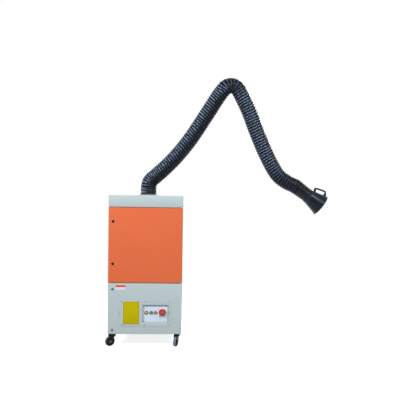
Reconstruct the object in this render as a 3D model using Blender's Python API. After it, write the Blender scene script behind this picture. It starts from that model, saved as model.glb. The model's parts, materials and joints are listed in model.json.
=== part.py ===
"""Mobile welding fume extractor: wheeled filter cabinet with a jointed hose arm and a suction hood.

Metres, +Z up. The doors face -Y and the arm reaches towards +X. The origin is the centre of the cabinet's
plan, on the underside of the base pan.
"""

import math

import bmesh
import bpy
from mathutils import Matrix, Vector
from mathutils.geometry import interpolate_bezier

# Shared clearances and sheet thicknesses
fit = 0.0003
overlap = 0.001
overrun = 0.010
panel_sheet = 0.002
base_sheet = 0.003
frame_sheet = 0.0025
fold_corner = 0.004
fold_edge = 0.0025
inner_corner_share = 0.3

# Cabinet
cabinet_width = 0.650
cabinet_depth = 0.600
cabinet_height = 1.225
cover_height = 0.102
base_height = 0.030
base_lip = 0.025
side_flange = 0.025
partition_rise = 0.0135
partition_flange = 0.025
mid_rail_height = 0.040
bottom_rail_height = 0.030
top_rail_height = 0.030
frame_face = 0.026

# Doors, hinges and seals
door_depth = 0.022
door_gap = 0.0044
door_side_gap = 0.001
door_lip = 0.023
filter_door_share = 0.5404
hinge_inset = 0.011
seal_thickness = 0.0049
seal_width = 0.0075
seal_inset = 0.0125
hinge_tab_thickness = 0.003
hinge_tab_reach = 0.009
hinge_pin_radius = 0.003
hinge_pin_length = 0.010
hinge_pin_clearance = 0.0004

# Quarter-turn locks
lock_inset = 0.0415
filter_lock_top_drop = 0.124
filter_lock_bottom_rise = 0.167
service_lock_top_drop = 0.050
service_lock_bottom_rise = 0.0385
lock_flange_radius = 0.01175
key_lock_flange_radius = 0.013
lock_flange_thickness = 0.003
lock_body_radius = 0.0095
lock_core_radius = 0.006
lock_bore_clearance = 0.0004
lock_core_recess = 0.002
lock_key_radius = 0.0042
lock_body_length = 0.026
cam_width = 0.014
cam_length = 0.027
cam_thickness = 0.003
cam_clearance = 0.0006

# Access plate with its pressed recess, lamp, buttons and isolator
plate_side_margin = 0.097
plate_height = 0.230
plate_drop_share = 0.6862
plate_corner = 0.014
plate_sheet = 0.002
plate_land = 0.013
recess_width = 0.228
recess_height = 0.156
recess_depth = 0.020
recess_side_margin = 0.018
recess_offset_z = -0.004
recess_corner = 0.008
control_margin = 0.004
control_sheet = 0.0015
lamp_row_rise = 0.0086
amber_offset = -0.081
green_offset = -0.039
red_offset = 0.0
isolator_offset = 0.061
bezel_radius = 0.0145
bezel_height = 0.008
bezel_web = 0.002
button_radius = 0.0105
button_clearance = 0.0004
button_proud = 0.003
button_travel = 0.0035
lamp_dome = 0.006
isolator_side = 0.064
isolator_corner = 0.004
isolator_sheet = 0.003
knob_radius = 0.029
knob_base = 0.010
knob_grip_width = 0.014
knob_grip_height = 0.016
knob_spindle_radius = 0.006

# Filters on their rails
filter_side_clearance = 0.027
filter_end_clearance = 0.055
main_filter_height = 0.292
main_filter_wall = 0.018
pleat_depth = 0.030
pleat_count = 16
prefilter_height = 0.048
prefilter_wall = 0.012
prefilter_ridge = 0.010
prefilter_ridge_count = 10
arrestor_height = 0.025
arrestor_wall = 0.014
arrestor_plate = 0.003
arrestor_bar = 0.008
arrestor_columns = 6
arrestor_rows = 4
prefilter_rise = 0.330
arrestor_rise = 0.420
rail_sheet = 0.002
rail_overhang = 0.015
rail_bearing = 0.012

# Fan in its scroll housing, with the motor below
fan_centre_x = -0.020
fan_centre_y = -0.020
scroll_height = 0.130
scroll_sheet = 0.0025
scroll_start_radius = 0.165
scroll_growth = 0.075
scroll_tongue_deg = 50
scroll_steps = 16
fan_inlet_radius = 0.105
impeller_radius = 0.150
impeller_eye_radius = 0.098
impeller_plate = 0.003
impeller_floor_gap = 0.012
blade_height = 0.080
blade_thickness = 0.0025
blade_count = 8
blade_inner_radius = 0.070
blade_sweep_deg = 48
blade_steps = 3
hub_radius = 0.022
hub_height = 0.033
shaft_radius = 0.012
shaft_length = 0.035
shaft_clearance = 0.0005
shaft_hole_radius = 0.030
motor_flange_radius = 0.085
motor_flange_thickness = 0.010
motor_radius = 0.068
motor_length = 0.190
motor_cowl_radius = 0.072
motor_cowl_length = 0.045
terminal_box_width = 0.080
terminal_box_height = 0.070
terminal_box_reach = 0.038

# Rear panel
louvre_count = 8
louvre_pitch = 0.0145
louvre_slot = 0.007
louvre_width = 0.112
louvre_reach = 0.006
gland_inset = 0.085
gland_z = 0.110
gland_radius = 0.014
gland_thread_radius = 0.010
gland_bore_radius = 0.0045
gland_reach = 0.024

# Castors
castor_height = 0.120
castor_inset_x = 0.039
castor_inset_y = 0.046
castor_plate_width = 0.070
castor_plate_length = 0.080
castor_plate_corner = 0.006
castor_plate_sheet = 0.003
raceway_radius = 0.026
raceway_height = 0.008
kingpin_radius = 0.006
kingpin_clearance = 0.0004
crown_sheet = 0.004
crown_radius = 0.025
fork_sheet = 0.003
fork_eye_radius = 0.011
wheel_radius = 0.0445
wheel_width = 0.025
wheel_side_gap = 0.0015
wheel_groove = 0.004
wheel_web = 0.010
tyre_thickness = 0.010
castor_trail = 0.028
axle_radius = 0.005
axle_clearance = 0.0005
axle_head_radius = 0.008
axle_head_thickness = 0.003
castor_trail_deg = {"front_left": 210, "front_right": 250, "rear_left": 200, "rear_right": 235}

# Inlet flange and swivel collar on the cabinet top
flange_radius = 0.087
flange_thickness = 0.007
flange_neck_radius = 0.0695
flange_bore_radius = 0.0665
flange_neck_depth = 0.020
swivel_clearance = 0.0005
collar_height = 0.076
collar_radius = 0.070
collar_bore_radius = 0.064
collar_foot_radius = 0.0755
collar_foot_height = 0.005
spigot_wall = 0.005
spigot_depth = 0.015
clamp_rise = 0.0015
clamp_width = 0.011
clamp_levels = [0.022, 0.054]
cross_bar_width = 0.026
cross_bar_height = 0.008
cross_bar_drop = 0.040

# Arm skeleton inside the hose
shoulder_rise = 0.125
lower_link_length = 1.177
lower_link_deg = 49.5
upper_link_length = 0.9395
upper_link_deg = -59.56
hood_deg = -35.5
link_width = 0.025
link_thickness = 0.012
link_offset = 0.013
link_ramp = 0.050
link_slot_width = 0.010
link_slot_length = 0.120
link_slot_gap = 0.050
lug_radius = 0.016
ear_thickness = 0.004
fork_reach = 0.080
fork_root = 0.030
fork_throat = 0.006
bolt_radius = 0.005
bolt_clearance = 0.0003
bolt_head_radius = 0.009
bolt_head_thickness = 0.005

# Ribbed hose
hose_radius = 0.0715
hose_valley_radius = 0.0675
hose_bore_radius = 0.0640
rib_pitch = 0.025
hose_sides = 8
hose_joint_gap = 0.0003
hose_run_clear = 0.200
hose_wrist_clear = 0.160
hose_collar_lead = 0.010
hose_neck_lead = 0.020
elbow_bend_radius = 0.085
elbow_bend_rise = 0.020
elbow_bend_deg = 56
bezier_steps = 40

# Hood
neck_start = 0.199
neck_length = 0.141
neck_radius = 0.0615
neck_cuff_radius = 0.0665
neck_cuff_length = 0.018
neck_wall = 0.002
neck_bead = 0.003
neck_bead_width = 0.004
neck_bar_width = 0.024
neck_bar_thickness = 0.005
cone_length = 0.140
cone_small_radius = 0.0675
cone_mouth_radius = 0.1005
cone_wall = 0.0025
cone_socket = 0.018
cone_rim = 0.003
cone_rim_width = 0.006
handle_radius = 0.0055
handle_corner_radius = 0.014
handle_corner_steps = 3
handle_sides = 10
handle_back = 0.004
handle_front = 0.127
handle_back_height = 0.106
handle_top = 0.086
handle_top_height = 0.136
handle_front_height = 0.118

# Facets
small_round = 12
round_sides = 16
large_round = 20
wheel_sides = 16
corner_steps = 2

# Levels and planes that follow from the sizes above
door_front = -cabinet_depth / 2
door_back = door_front + door_depth
frame_front = door_back + fit + seal_thickness + fit
frame_back = frame_front + frame_sheet
body_front = frame_back + fit
rear_face = cabinet_depth / 2
rear_inside = rear_face - panel_sheet
body_back = rear_inside - fit
cover_bottom = cabinet_height - cover_height
body_top = cover_bottom - fit
filter_door_top = cover_bottom - door_gap
filter_door_bottom = filter_door_top - filter_door_share * cabinet_height
service_door_top = filter_door_bottom - door_gap
service_door_bottom = hinge_tab_thickness + (door_gap - hinge_tab_thickness) / 2
door_width = cabinet_width - 2 * door_side_gap
plate_width = door_width - 2 * plate_side_margin
plate_drop = plate_drop_share * (service_door_top - service_door_bottom - plate_height)
recess_offset_x = plate_width / 2 - recess_side_margin - recess_width / 2
hinge_x = door_width / 2 - hinge_inset
hinge_y = door_front + hinge_inset
lock_x = lock_inset - cabinet_width / 2
cam_front = body_front + panel_sheet + cam_clearance
wall_inside = cabinet_width / 2 - panel_sheet
partition_level = filter_door_bottom + partition_rise
partition_back = body_back - panel_sheet - fit
filter_width = 2 * (wall_inside - filter_side_clearance)
filter_depth = cabinet_depth - 2 * filter_end_clearance
prefilter_level = partition_level + prefilter_rise
arrestor_level = partition_level + arrestor_rise
gland_x = gland_inset - cabinet_width / 2


def direction(degrees):
    """Unit vector in the arm's plane, measured from +X towards +Z."""
    return Vector((math.cos(math.radians(degrees)), 0, math.sin(math.radians(degrees))))


def outward(degrees):
    """Unit vector in the arm's plane, a quarter turn on from direction(degrees)."""
    return direction(degrees + 90)


shoulder = Vector((0, 0, cabinet_height + shoulder_rise))
elbow = shoulder + lower_link_length * direction(lower_link_deg)
wrist = elbow + upper_link_length * direction(upper_link_deg)


# Meshes and Booleans


def to_mesh(shape):
    bmesh.ops.remove_doubles(shape, verts=shape.verts, dist=fit / 100)
    bmesh.ops.recalc_face_normals(shape, faces=shape.faces)
    mesh = bpy.data.meshes.new("shape")
    shape.to_mesh(mesh)
    shape.free()
    return mesh


def boolean(mesh, tool_mesh, operation):
    """The mesh after one exact Boolean with the tool."""
    target = bpy.data.objects.new("target", mesh)
    tool = bpy.data.objects.new("tool", tool_mesh)
    for helper in (target, tool):
        bpy.context.scene.collection.objects.link(helper)
    modifier = target.modifiers.new("boolean", "BOOLEAN")
    modifier.operation = operation
    modifier.solver = "EXACT"
    modifier.object = tool
    graph = bpy.context.evaluated_depsgraph_get()
    result = bpy.data.meshes.new_from_object(target.evaluated_get(graph))
    for helper in (target, tool):
        bpy.data.objects.remove(helper)
    return result


def cut(mesh, *tools):
    for tool in tools:
        mesh = boolean(mesh, tool, "DIFFERENCE")
    return mesh


def join(mesh, *tools):
    for tool in tools:
        mesh = boolean(mesh, tool, "UNION")
    return mesh


def group(*meshes):
    """Several meshes that don't touch each other, as one tool."""
    shape = bmesh.new()
    for mesh in meshes:
        shape.from_mesh(mesh)
    return to_mesh(shape)


def axes(origin, z_axis, x_axis=(1, 0, 0)):
    """Matrix whose local Z runs along z_axis, with local X as near to x_axis as it can be."""
    z = Vector(z_axis).normalized()
    x = Vector(x_axis)
    x = (x - z * x.dot(z)).normalized()
    matrix = Matrix((x, z.cross(x), z)).transposed().to_4x4()
    matrix.translation = Vector(origin)
    return matrix


def loft(loops, close=False):
    """Skin over loops of equal point count. It is capped at both ends, or closed into a ring."""
    shape = bmesh.new()
    rows = [[shape.verts.new(point) for point in loop] for loop in loops]
    pairs = list(zip(rows, rows[1:]))
    if close:
        pairs.append((rows[-1], rows[0]))
    for low, high in pairs:
        for i in range(len(low)):
            j = (i + 1) % len(low)
            shape.faces.new((low[i], low[j], high[j], high[i]))
    if not close:
        shape.faces.new(rows[0])
        shape.faces.new(rows[-1])
    return to_mesh(shape)


def box(low, high):
    loops = []
    for z in (low[2], high[2]):
        loops.append([(low[0], low[1], z), (high[0], low[1], z), (high[0], high[1], z), (low[0], high[1], z)])
    return loft(loops)


def lathe(profile, place, sides=round_sides, close=False):
    """Turned solid from (radius, height) points about the local Z of place. A zero radius makes a pole."""
    shape = bmesh.new()
    rows = []
    for radius, height in profile:
        if radius == 0:
            rows.append([shape.verts.new(place @ Vector((0, 0, height)))])
            continue
        turns = [2 * math.pi * i / sides for i in range(sides)]
        rows.append([shape.verts.new(place @ Vector((radius * math.cos(a), radius * math.sin(a), height)))
                     for a in turns])
    pairs = list(zip(rows, rows[1:]))
    if close:
        pairs.append((rows[-1], rows[0]))
    for low, high in pairs:
        for i in range(sides):
            j = (i + 1) % sides
            corners = [low[i % len(low)], low[j % len(low)], high[j % len(high)], high[i % len(high)]]
            shape.faces.new(list(dict.fromkeys(corners)))
    if not close:
        for row in (rows[0], rows[-1]):
            if len(row) > 1:
                shape.faces.new(row)
    return to_mesh(shape)


def cylinder(radius, low, high, place, sides=small_round):
    return lathe([(radius, low), (radius, high)], place, sides)


def prism(outline, low, high, place):
    """Outline of (x, y) points in the local frame of place, extruded along its Z."""
    return loft([[place @ Vector((x, y, z)) for x, y in outline] for z in (low, high)])


def rounded_rectangle(width, height, corner, steps=corner_steps):
    points = []
    for quarter, (sx, sy) in enumerate(((1, 1), (-1, 1), (-1, -1), (1, -1))):
        for step in range(steps + 1):
            angle = math.pi / 2 * (quarter + step / steps)
            points.append((sx * (width / 2 - corner) + corner * math.cos(angle),
                           sy * (height / 2 - corner) + corner * math.sin(angle)))
    return points


def rounded_bar(start, end, radius, steps=4):
    """Outline of a flat bar between two points, with both ends round."""
    along = math.atan2(end[1] - start[1], end[0] - start[0])
    points = []
    for centre, turn in ((end, -math.pi / 2), (start, math.pi / 2)):
        for step in range(steps + 1):
            angle = along + turn + math.pi * step / steps
            points.append((centre[0] + radius * math.cos(angle), centre[1] + radius * math.sin(angle)))
    return points


def folded_shell(width, height, depth, sheet, place, lip=0, edge=fold_edge, corner=fold_corner):
    """Sheet-metal pan with its face on the local plane z = 0, open at z = depth, with an inward lip there."""

    def loop(inset, level):
        radius = max(corner - inset, corner * inner_corner_share)
        outline = rounded_rectangle(width - 2 * inset, height - 2 * inset, radius)
        return [place @ Vector((x, y, level)) for x, y in outline]

    loops = []
    for step in range(corner_steps + 1):
        angle = math.pi / 2 * step / corner_steps
        loops.append(loop(edge * (1 - math.sin(angle)), edge * (1 - math.cos(angle))))
    loops.append(loop(0, depth))
    if lip:
        loops.append(loop(lip, depth))
        loops.append(loop(lip, depth - sheet))
        loops.append(loop(sheet, depth - sheet))
    else:
        loops.append(loop(sheet, depth))
    loops.append(loop(sheet, sheet))
    return loft(loops)


# Objects, joints and materials


def clear_scene():
    for thing in list(bpy.data.objects):
        bpy.data.objects.remove(thing)


def paint(name, color, roughness, metallic=0.0):
    material = bpy.data.materials.new(name)
    material.use_nodes = True
    surface = material.node_tree.nodes["Principled BSDF"]
    surface.inputs["Base Color"].default_value = (*color, 1)
    surface.inputs["Roughness"].default_value = roughness
    surface.inputs["Metallic"].default_value = metallic
    material.diffuse_color = (*color, 1)
    return material


def pivot(name, location, parent=None):
    """Empty on a joint's axis. What it carries is parented to it."""
    empty = bpy.data.objects.new(name, None)
    empty.empty_display_size = hinge_inset
    bpy.context.scene.collection.objects.link(empty)
    empty.location = location
    hang(empty, parent)
    return empty


def hang(thing, parent):
    if parent is not None:
        thing.parent = parent
        thing.matrix_parent_inverse = Matrix.Translation(-Vector(parent.location))


def piece(name, mesh, material, parent=None, smooth=False):
    """Named object from a mesh in world coordinates."""
    mesh.name = name
    mesh.materials.clear()
    mesh.materials.append(material)
    if smooth:
        mesh.shade_smooth()
        mesh.set_sharp_from_angle(angle=math.radians(35))
    thing = bpy.data.objects.new(name, mesh)
    bpy.context.scene.collection.objects.link(thing)
    hang(thing, parent)
    return thing


# Cabinet


def plan_place(level, down=False):
    return axes((0, 0, level), (0, 0, -1 if down else 1))


def add_base_pan(parent, steel):
    centre_y = (body_front + rear_face) / 2
    depth = rear_face - body_front
    place = Matrix.Translation((0, centre_y, 0))
    mesh = folded_shell(cabinet_width, depth, base_height, base_sheet, place, lip=base_lip)
    piece("base_pan", mesh, steel, parent)


def add_top_cover(parent, steel):
    lip = frame_front - door_front - fit
    place = plan_place(cabinet_height, down=True)
    mesh = folded_shell(cabinet_width, cabinet_depth, cover_height, base_sheet, place, lip=lip)
    hole = cylinder(flange_neck_radius + fit, -overrun, base_sheet + overrun, place, large_round)
    piece("top_cover", cut(mesh, hole), steel, parent)


def rail_levels():
    return [prefilter_level - fit, arrestor_level - fit]


def add_side_panel(name, side, parent, steel):
    """Folded side panel with two welded filter rails."""
    low = base_height + fit
    height = body_top - low
    depth = body_back - body_front
    centre = (side * cabinet_width / 2, (body_front + body_back) / 2, low + height / 2)
    place = axes(centre, (-side, 0, 0), (0, 1, 0))
    mesh = folded_shell(depth, height, side_flange, panel_sheet, place)
    inner = filter_width / 2 - rail_bearing
    outer = wall_inside + panel_sheet / 2
    rails = []
    for level in rail_levels():
        spans = sorted((side * inner, side * outer))
        reach = filter_depth / 2 + rail_overhang
        rails.append(box((spans[0], -reach, level - rail_sheet), (spans[1], reach, level)))
    piece(name, join(mesh, group(*rails)), steel, parent)


def add_rear_panel(parent, steel):
    """Rear panel with louvres over the fan outlet and a hole for the cable gland."""
    low = base_height + fit
    mesh = box((-cabinet_width / 2, rear_inside, low), (cabinet_width / 2, rear_face, body_top))
    duct_left, duct_right = fan_duct_sides()
    centre_x = (duct_left + duct_right) / 2
    first = fan_housing_bottom() + (scroll_height - louvre_pitch * (louvre_count - 1)) / 2
    hoods = []
    slots = []
    for row in range(louvre_count):
        level = first + row * louvre_pitch
        place = axes((centre_x - louvre_width / 2, 0, level), (1, 0, 0), (0, 1, 0))
        wedge = [(rear_face - panel_sheet / 2, louvre_slot), (rear_face - panel_sheet / 2, 0),
                 (rear_face + louvre_reach, -louvre_slot / 2), (rear_face + louvre_reach, 0)]
        hoods.append(prism(wedge, 0, louvre_width, place))
        opening = [(rear_inside - overrun, -louvre_slot / 2), (rear_face + louvre_reach / 2, -louvre_slot / 2),
                   (rear_face + louvre_reach / 2, 0), (rear_inside - overrun, 0)]
        slots.append(prism(opening, louvre_slot, louvre_width - louvre_slot, place))
    mesh = cut(join(mesh, group(*hoods)), group(*slots))
    place = axes((gland_x, 0, gland_z), (0, 1, 0))
    mesh = cut(mesh, cylinder(gland_thread_radius + fit, rear_inside - overrun, rear_face + overrun, place))
    piece("rear_panel", mesh, steel, parent)


def add_cable_gland(parent, plastic):
    place = axes((gland_x, rear_face, gland_z), (0, 1, 0))
    profile = [(gland_bore_radius, -gland_reach / 2), (gland_thread_radius, -gland_reach / 2),
               (gland_thread_radius, fit), (gland_radius, fit), (gland_radius, gland_reach / 2),
               (gland_thread_radius, gland_reach), (gland_bore_radius, gland_reach)]
    piece("cable_gland", lathe(profile, place, small_round, close=True), plastic, parent, smooth=True)


def add_front_frame(parent, steel):
    """Flat welded frame that both doors close on, with the hinge tabs and pins."""
    half = cabinet_width / 2
    mesh = box((-half, frame_front, 0), (half, frame_back, body_top))
    rail_middle = (filter_door_bottom + service_door_top) / 2
    windows = []
    for low, high in ((bottom_rail_height, rail_middle - mid_rail_height / 2),
                      (rail_middle + mid_rail_height / 2, body_top - top_rail_height)):
        windows.append(box((frame_face - half, frame_front - overrun, low),
                           (half - frame_face, frame_back + overrun, high)))
    mesh = cut(mesh, group(*windows))
    tabs = []
    pins = []
    margin = (door_gap - hinge_tab_thickness) / 2
    levels = (0, service_door_top + margin, filter_door_top + margin)
    for index, level in enumerate(levels):
        top = level + hinge_tab_thickness
        tabs.append(box((hinge_x - hinge_tab_reach, hinge_y - hinge_tab_reach, level),
                        (hinge_x + hinge_tab_reach, frame_front + frame_sheet / 2, top)))
        low = level - hinge_pin_length if index > 0 else level + hinge_tab_thickness / 2
        high = top + hinge_pin_length if index < 2 else level + hinge_tab_thickness / 2
        pins.append(cylinder(hinge_pin_radius, low, high, Matrix.Translation((hinge_x, hinge_y, 0))))
    piece("front_frame", join(mesh, group(*tabs), group(*pins)), steel, parent)


def add_partition_plate(parent, steel):
    width = 2 * (wall_inside - fit)
    front = body_front + panel_sheet + fit
    place = axes((0, (front + partition_back) / 2, partition_level), (0, 0, -1))
    mesh = folded_shell(width, partition_back - front, partition_flange, panel_sheet, place)
    hole = axes((fan_centre_x, fan_centre_y, partition_level), (0, 0, -1))
    mesh = cut(mesh, cylinder(fan_inlet_radius, -overrun, panel_sheet + overrun, hole, large_round))
    piece("partition_plate", mesh, steel, parent)


# Filters


def filter_block(level, height):
    return box((-filter_width / 2, -filter_depth / 2, level),
               (filter_width / 2, filter_depth / 2, level + height))


def ridged_pack(count, depth, wall, level, height):
    """Media block whose top is folded into ridges across the filter, a little wider than its frame's inside."""
    half = filter_width / 2 - wall + overlap
    pitch = 2 * half / count
    outline = [(-half, level), (half, level)]
    for ridge in reversed(range(count)):
        outline.append((-half + (ridge + 1) * pitch, level + height - depth))
        outline.append((-half + (ridge + 1 / 2) * pitch, level + height))
    outline.append((-half, level + height - depth))
    reach = filter_depth / 2 - wall + overlap
    return prism(outline, -reach, reach, axes((0, 0, 0), (0, -1, 0)))


def filter_frame(level, height, wall):
    inner = box((wall - filter_width / 2, wall - filter_depth / 2, level - overrun),
                (filter_width / 2 - wall, filter_depth / 2 - wall, level + height + overrun))
    return cut(filter_block(level, height), inner)


def add_main_filter(parent, media):
    level = partition_level + fit
    frame = filter_frame(level, main_filter_height, main_filter_wall)
    rise = main_filter_wall
    pack = ridged_pack(pleat_count, pleat_depth, main_filter_wall, level + rise, main_filter_height - 2 * rise)
    piece("main_filter", join(frame, pack), media, parent)


def add_prefilter(parent, media):
    level = prefilter_level
    frame = filter_frame(level, prefilter_height, prefilter_wall)
    inner_height = prefilter_height - prefilter_wall
    pack = ridged_pack(prefilter_ridge_count, prefilter_ridge, prefilter_wall, level + prefilter_wall / 2,
                       inner_height)
    piece("prefilter", join(frame, pack), media, parent)


def add_spark_arrestor(parent, steel):
    """Shallow steel tray whose floor is a grid of square holes."""
    level = arrestor_level
    frame = filter_frame(level, arrestor_height, arrestor_wall)
    half_x = filter_width / 2 - arrestor_wall
    half_y = filter_depth / 2 - arrestor_wall
    floor = box((-half_x - overlap, -half_y - overlap, level), (half_x + overlap, half_y + overlap,
                                                                level + arrestor_plate))
    pitch_x = (2 * half_x - arrestor_bar) / arrestor_columns
    pitch_y = (2 * half_y - arrestor_bar) / arrestor_rows
    holes = []
    for column in range(arrestor_columns):
        for row in range(arrestor_rows):
            x = -half_x + arrestor_bar + column * pitch_x
            y = -half_y + arrestor_bar + row * pitch_y
            holes.append(box((x, y, level - overrun),
                             (x + pitch_x - arrestor_bar, y + pitch_y - arrestor_bar, level + overrun)))
    piece("spark_arrestor", join(cut(floor, group(*holes)), frame), steel, parent)


# Fan


def fan_housing_bottom():
    return partition_level - panel_sheet - fit - scroll_height


def fan_place(level=0):
    return Matrix.Translation((fan_centre_x, fan_centre_y, level))


def scroll_radius(degrees):
    return scroll_start_radius + scroll_growth * degrees / 360


def fan_duct_sides():
    tongue = math.radians(scroll_tongue_deg)
    left = fan_centre_x + scroll_radius(scroll_tongue_deg) * math.cos(tongue)
    return left, fan_centre_x + scroll_radius(360)


def scroll_outline(grow, reach):
    """Spiral that opens into a straight duct towards the rear panel, offset outwards by grow."""
    points = []
    for step in range(scroll_steps + 1):
        degrees = scroll_tongue_deg + (360 - scroll_tongue_deg) * step / scroll_steps
        radius = scroll_radius(degrees) + grow
        angle = math.radians(degrees)
        points.append((radius * math.cos(angle), radius * math.sin(angle)))
    left, right = fan_duct_sides()
    points.append((right + grow - fan_centre_x, reach))
    points.append((left - grow - fan_centre_x, reach))
    return points


def add_fan_housing(parent, steel):
    low = fan_housing_bottom()
    high = low + scroll_height
    outlet = partition_back - panel_sheet - fit - fan_centre_y
    mesh = prism(scroll_outline(scroll_sheet, outlet), low, high, fan_place())
    cavity = prism(scroll_outline(0, outlet + overrun), low + scroll_sheet, high - scroll_sheet, fan_place())
    inlet = cylinder(fan_inlet_radius, high - scroll_sheet - overrun, high + overrun, fan_place(), large_round)
    shaft_hole = cylinder(shaft_hole_radius, low - overrun, low + overrun, fan_place(), round_sides)
    piece("fan_housing", cut(mesh, cavity, inlet, shaft_hole), steel, parent)


def blade(index):
    """Backward-curved blade: an arc strip from the inner radius to the rim."""
    start = 2 * math.pi * index / blade_count
    sweep = math.radians(blade_sweep_deg)
    edges = ([], [])
    for step in range(blade_steps + 1):
        part = step / blade_steps
        radius = blade_inner_radius + (impeller_radius - overlap - blade_inner_radius) * part
        angle = start - sweep * part
        for edge, offset in zip(edges, (-blade_thickness / 2, blade_thickness / 2)):
            turn = angle + offset / radius
            edge.append((radius * math.cos(turn), radius * math.sin(turn)))
    return edges[0] + edges[1][::-1]


def add_fan_impeller(parent, aluminium):
    floor = fan_housing_bottom() + scroll_sheet + impeller_floor_gap
    top = floor + impeller_plate + blade_height
    shaft_end = fan_housing_bottom() - shaft_length
    profile = [(0, shaft_end), (shaft_radius, shaft_end), (shaft_radius, floor), (impeller_radius, floor),
               (impeller_radius, floor + impeller_plate), (hub_radius, floor + impeller_plate),
               (hub_radius, floor + hub_height), (0, floor + hub_height)]
    mesh = lathe(profile, fan_place(), round_sides)
    low = floor + impeller_plate - overlap
    blades = group(*[prism(blade(index), low, top + overlap, fan_place()) for index in range(blade_count)])
    ring = [(impeller_eye_radius, top), (impeller_radius, top), (impeller_radius, top + impeller_plate),
            (impeller_eye_radius, top + impeller_plate)]
    mesh = join(mesh, blades, lathe(ring, fan_place(), round_sides, close=True))
    piece("fan_impeller", mesh, aluminium, parent, smooth=True)


def add_fan_motor(parent, iron):
    top = fan_housing_bottom() - fit
    bore = shaft_radius + shaft_clearance
    blind = top - shaft_length - shaft_clearance
    flange = top - motor_flange_thickness
    cowl = top - motor_length
    profile = [(0, blind), (bore, blind), (bore, top), (motor_flange_radius, top),
               (motor_flange_radius, flange), (motor_radius, flange), (motor_radius, cowl + motor_cowl_length),
               (motor_cowl_radius, cowl + motor_cowl_length), (motor_cowl_radius, cowl), (0, cowl)]
    mesh = lathe(profile, fan_place(), round_sides)
    reach = motor_radius + terminal_box_reach
    middle = (flange + cowl + motor_cowl_length) / 2
    terminal = box((fan_centre_x - terminal_box_width / 2, fan_centre_y - reach, middle - terminal_box_height / 2),
                   (fan_centre_x + terminal_box_width / 2, fan_centre_y, middle + terminal_box_height / 2))
    hollow = cylinder(motor_radius - overlap, cowl + overlap, flange, fan_place(), round_sides)
    mesh = join(mesh, cut(terminal, hollow))
    piece("fan_motor", mesh, iron, parent, smooth=True)


# Doors and locks


def door_place(bottom, top):
    return axes((0, door_front, (bottom + top) / 2), (0, 1, 0))


def hinge_holes(bottom, top):
    """Cutters for the pins in the two end flanges of a door."""
    place = Matrix.Translation((hinge_x, hinge_y, 0))
    radius = hinge_pin_radius + hinge_pin_clearance
    return group(cylinder(radius, bottom - overrun, bottom + overrun, place),
                 cylinder(radius, top - overrun, top + overrun, place))


def lock_holes(levels):
    cutters = []
    for level in levels:
        place = axes((lock_x, door_front, level), (0, 1, 0))
        cutters.append(cylinder(lock_body_radius + fit, -overrun, panel_sheet + overrun, place, round_sides))
    return group(*cutters)


def door_shell(bottom, top, lock_levels):
    height = top - bottom
    mesh = folded_shell(door_width, height, door_depth, panel_sheet, door_place(bottom, top), lip=door_lip)
    return cut(mesh, hinge_holes(bottom, top), lock_holes(lock_levels))


def door_seal(bottom, top):
    """Rubber frame on the lip of a door."""
    middle = (bottom + top) / 2
    low = door_back + fit
    high = low + seal_thickness
    place = axes((0, 0, middle), (0, 1, 0))
    width = door_width - 2 * seal_inset
    height = top - bottom - 2 * seal_inset
    loops = []
    for inset, level in ((0, low), (0, high), (seal_width, high), (seal_width, low)):
        corner = fold_corner + seal_width - inset
        outline = rounded_rectangle(width - 2 * inset, height - 2 * inset, corner)
        loops.append([place @ Vector((x, y, level)) for x, y in outline])
    return loft(loops, close=True)


def lock_housing(level, flange_radius_of_lock):
    place = axes((lock_x, door_front, level), (0, 1, 0))
    bore = lock_core_radius + lock_bore_clearance
    rim = lock_flange_thickness + fit
    profile = [(bore, -rim), (flange_radius_of_lock - lock_core_recess / 2, -rim),
               (flange_radius_of_lock, lock_core_recess / 2 - rim), (flange_radius_of_lock, -fit),
               (lock_body_radius, -fit), (lock_body_radius, lock_body_length), (bore, lock_body_length)]
    return lathe(profile, place, round_sides, close=True)


def lock_cam(level, towards, key_sides):
    """Turning core with its key boss in front and the cam behind, which points up or down when released."""
    place = axes((lock_x, door_front, level), (0, 1, 0))
    face = lock_core_recess - lock_flange_thickness
    back = cam_front + cam_thickness / 2 - door_front
    core = cylinder(lock_core_radius, face, back, place, small_round)
    key = cylinder(lock_key_radius, face - lock_core_recess / 2, face + overlap, place, key_sides)
    tip = towards * (cam_length - cam_width / 2)
    outline = rounded_bar((0, 0), (0, tip), cam_width / 2, steps=4)
    upright = axes((lock_x, door_front, level), (0, -1, 0))
    tongue = prism(outline, door_front - cam_front - cam_thickness, door_front - cam_front, upright)
    return join(core, key, tongue)


def add_locks(prefix, levels, flange_radius_of_lock, key_sides, housing_paint, core_paint, door):
    for end, level, towards in (("top", levels[0], -1), ("bottom", levels[1], 1)):
        housing = lock_housing(level, flange_radius_of_lock)
        piece(f"{prefix}_lock_{end}", housing, housing_paint, door, smooth=True)
        axis = pivot(f"{prefix}_cam_{end}_axis", (lock_x, door_front, level), door)
        piece(f"{prefix}_cam_{end}", lock_cam(level, towards, key_sides), core_paint, axis)


def add_filter_door(parent, orange, black, rubber):
    axis = pivot("filter_door_axis", (hinge_x, hinge_y, filter_door_bottom), parent)
    levels = (filter_door_top - filter_lock_top_drop, filter_door_bottom + filter_lock_bottom_rise)
    piece("filter_door", door_shell(filter_door_bottom, filter_door_top, levels), orange, axis)
    piece("filter_door_seal", door_seal(filter_door_bottom, filter_door_top), rubber, axis)
    add_locks("filter_door", levels, lock_flange_radius, 4, black, black, axis)


# Service door with its controls


def plate_centre():
    return service_door_top - plate_drop - plate_height / 2


def recess_place(level):
    centre = (recess_offset_x, level, plate_centre() + recess_offset_z)
    return axes(centre, (0, 1, 0))


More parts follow.
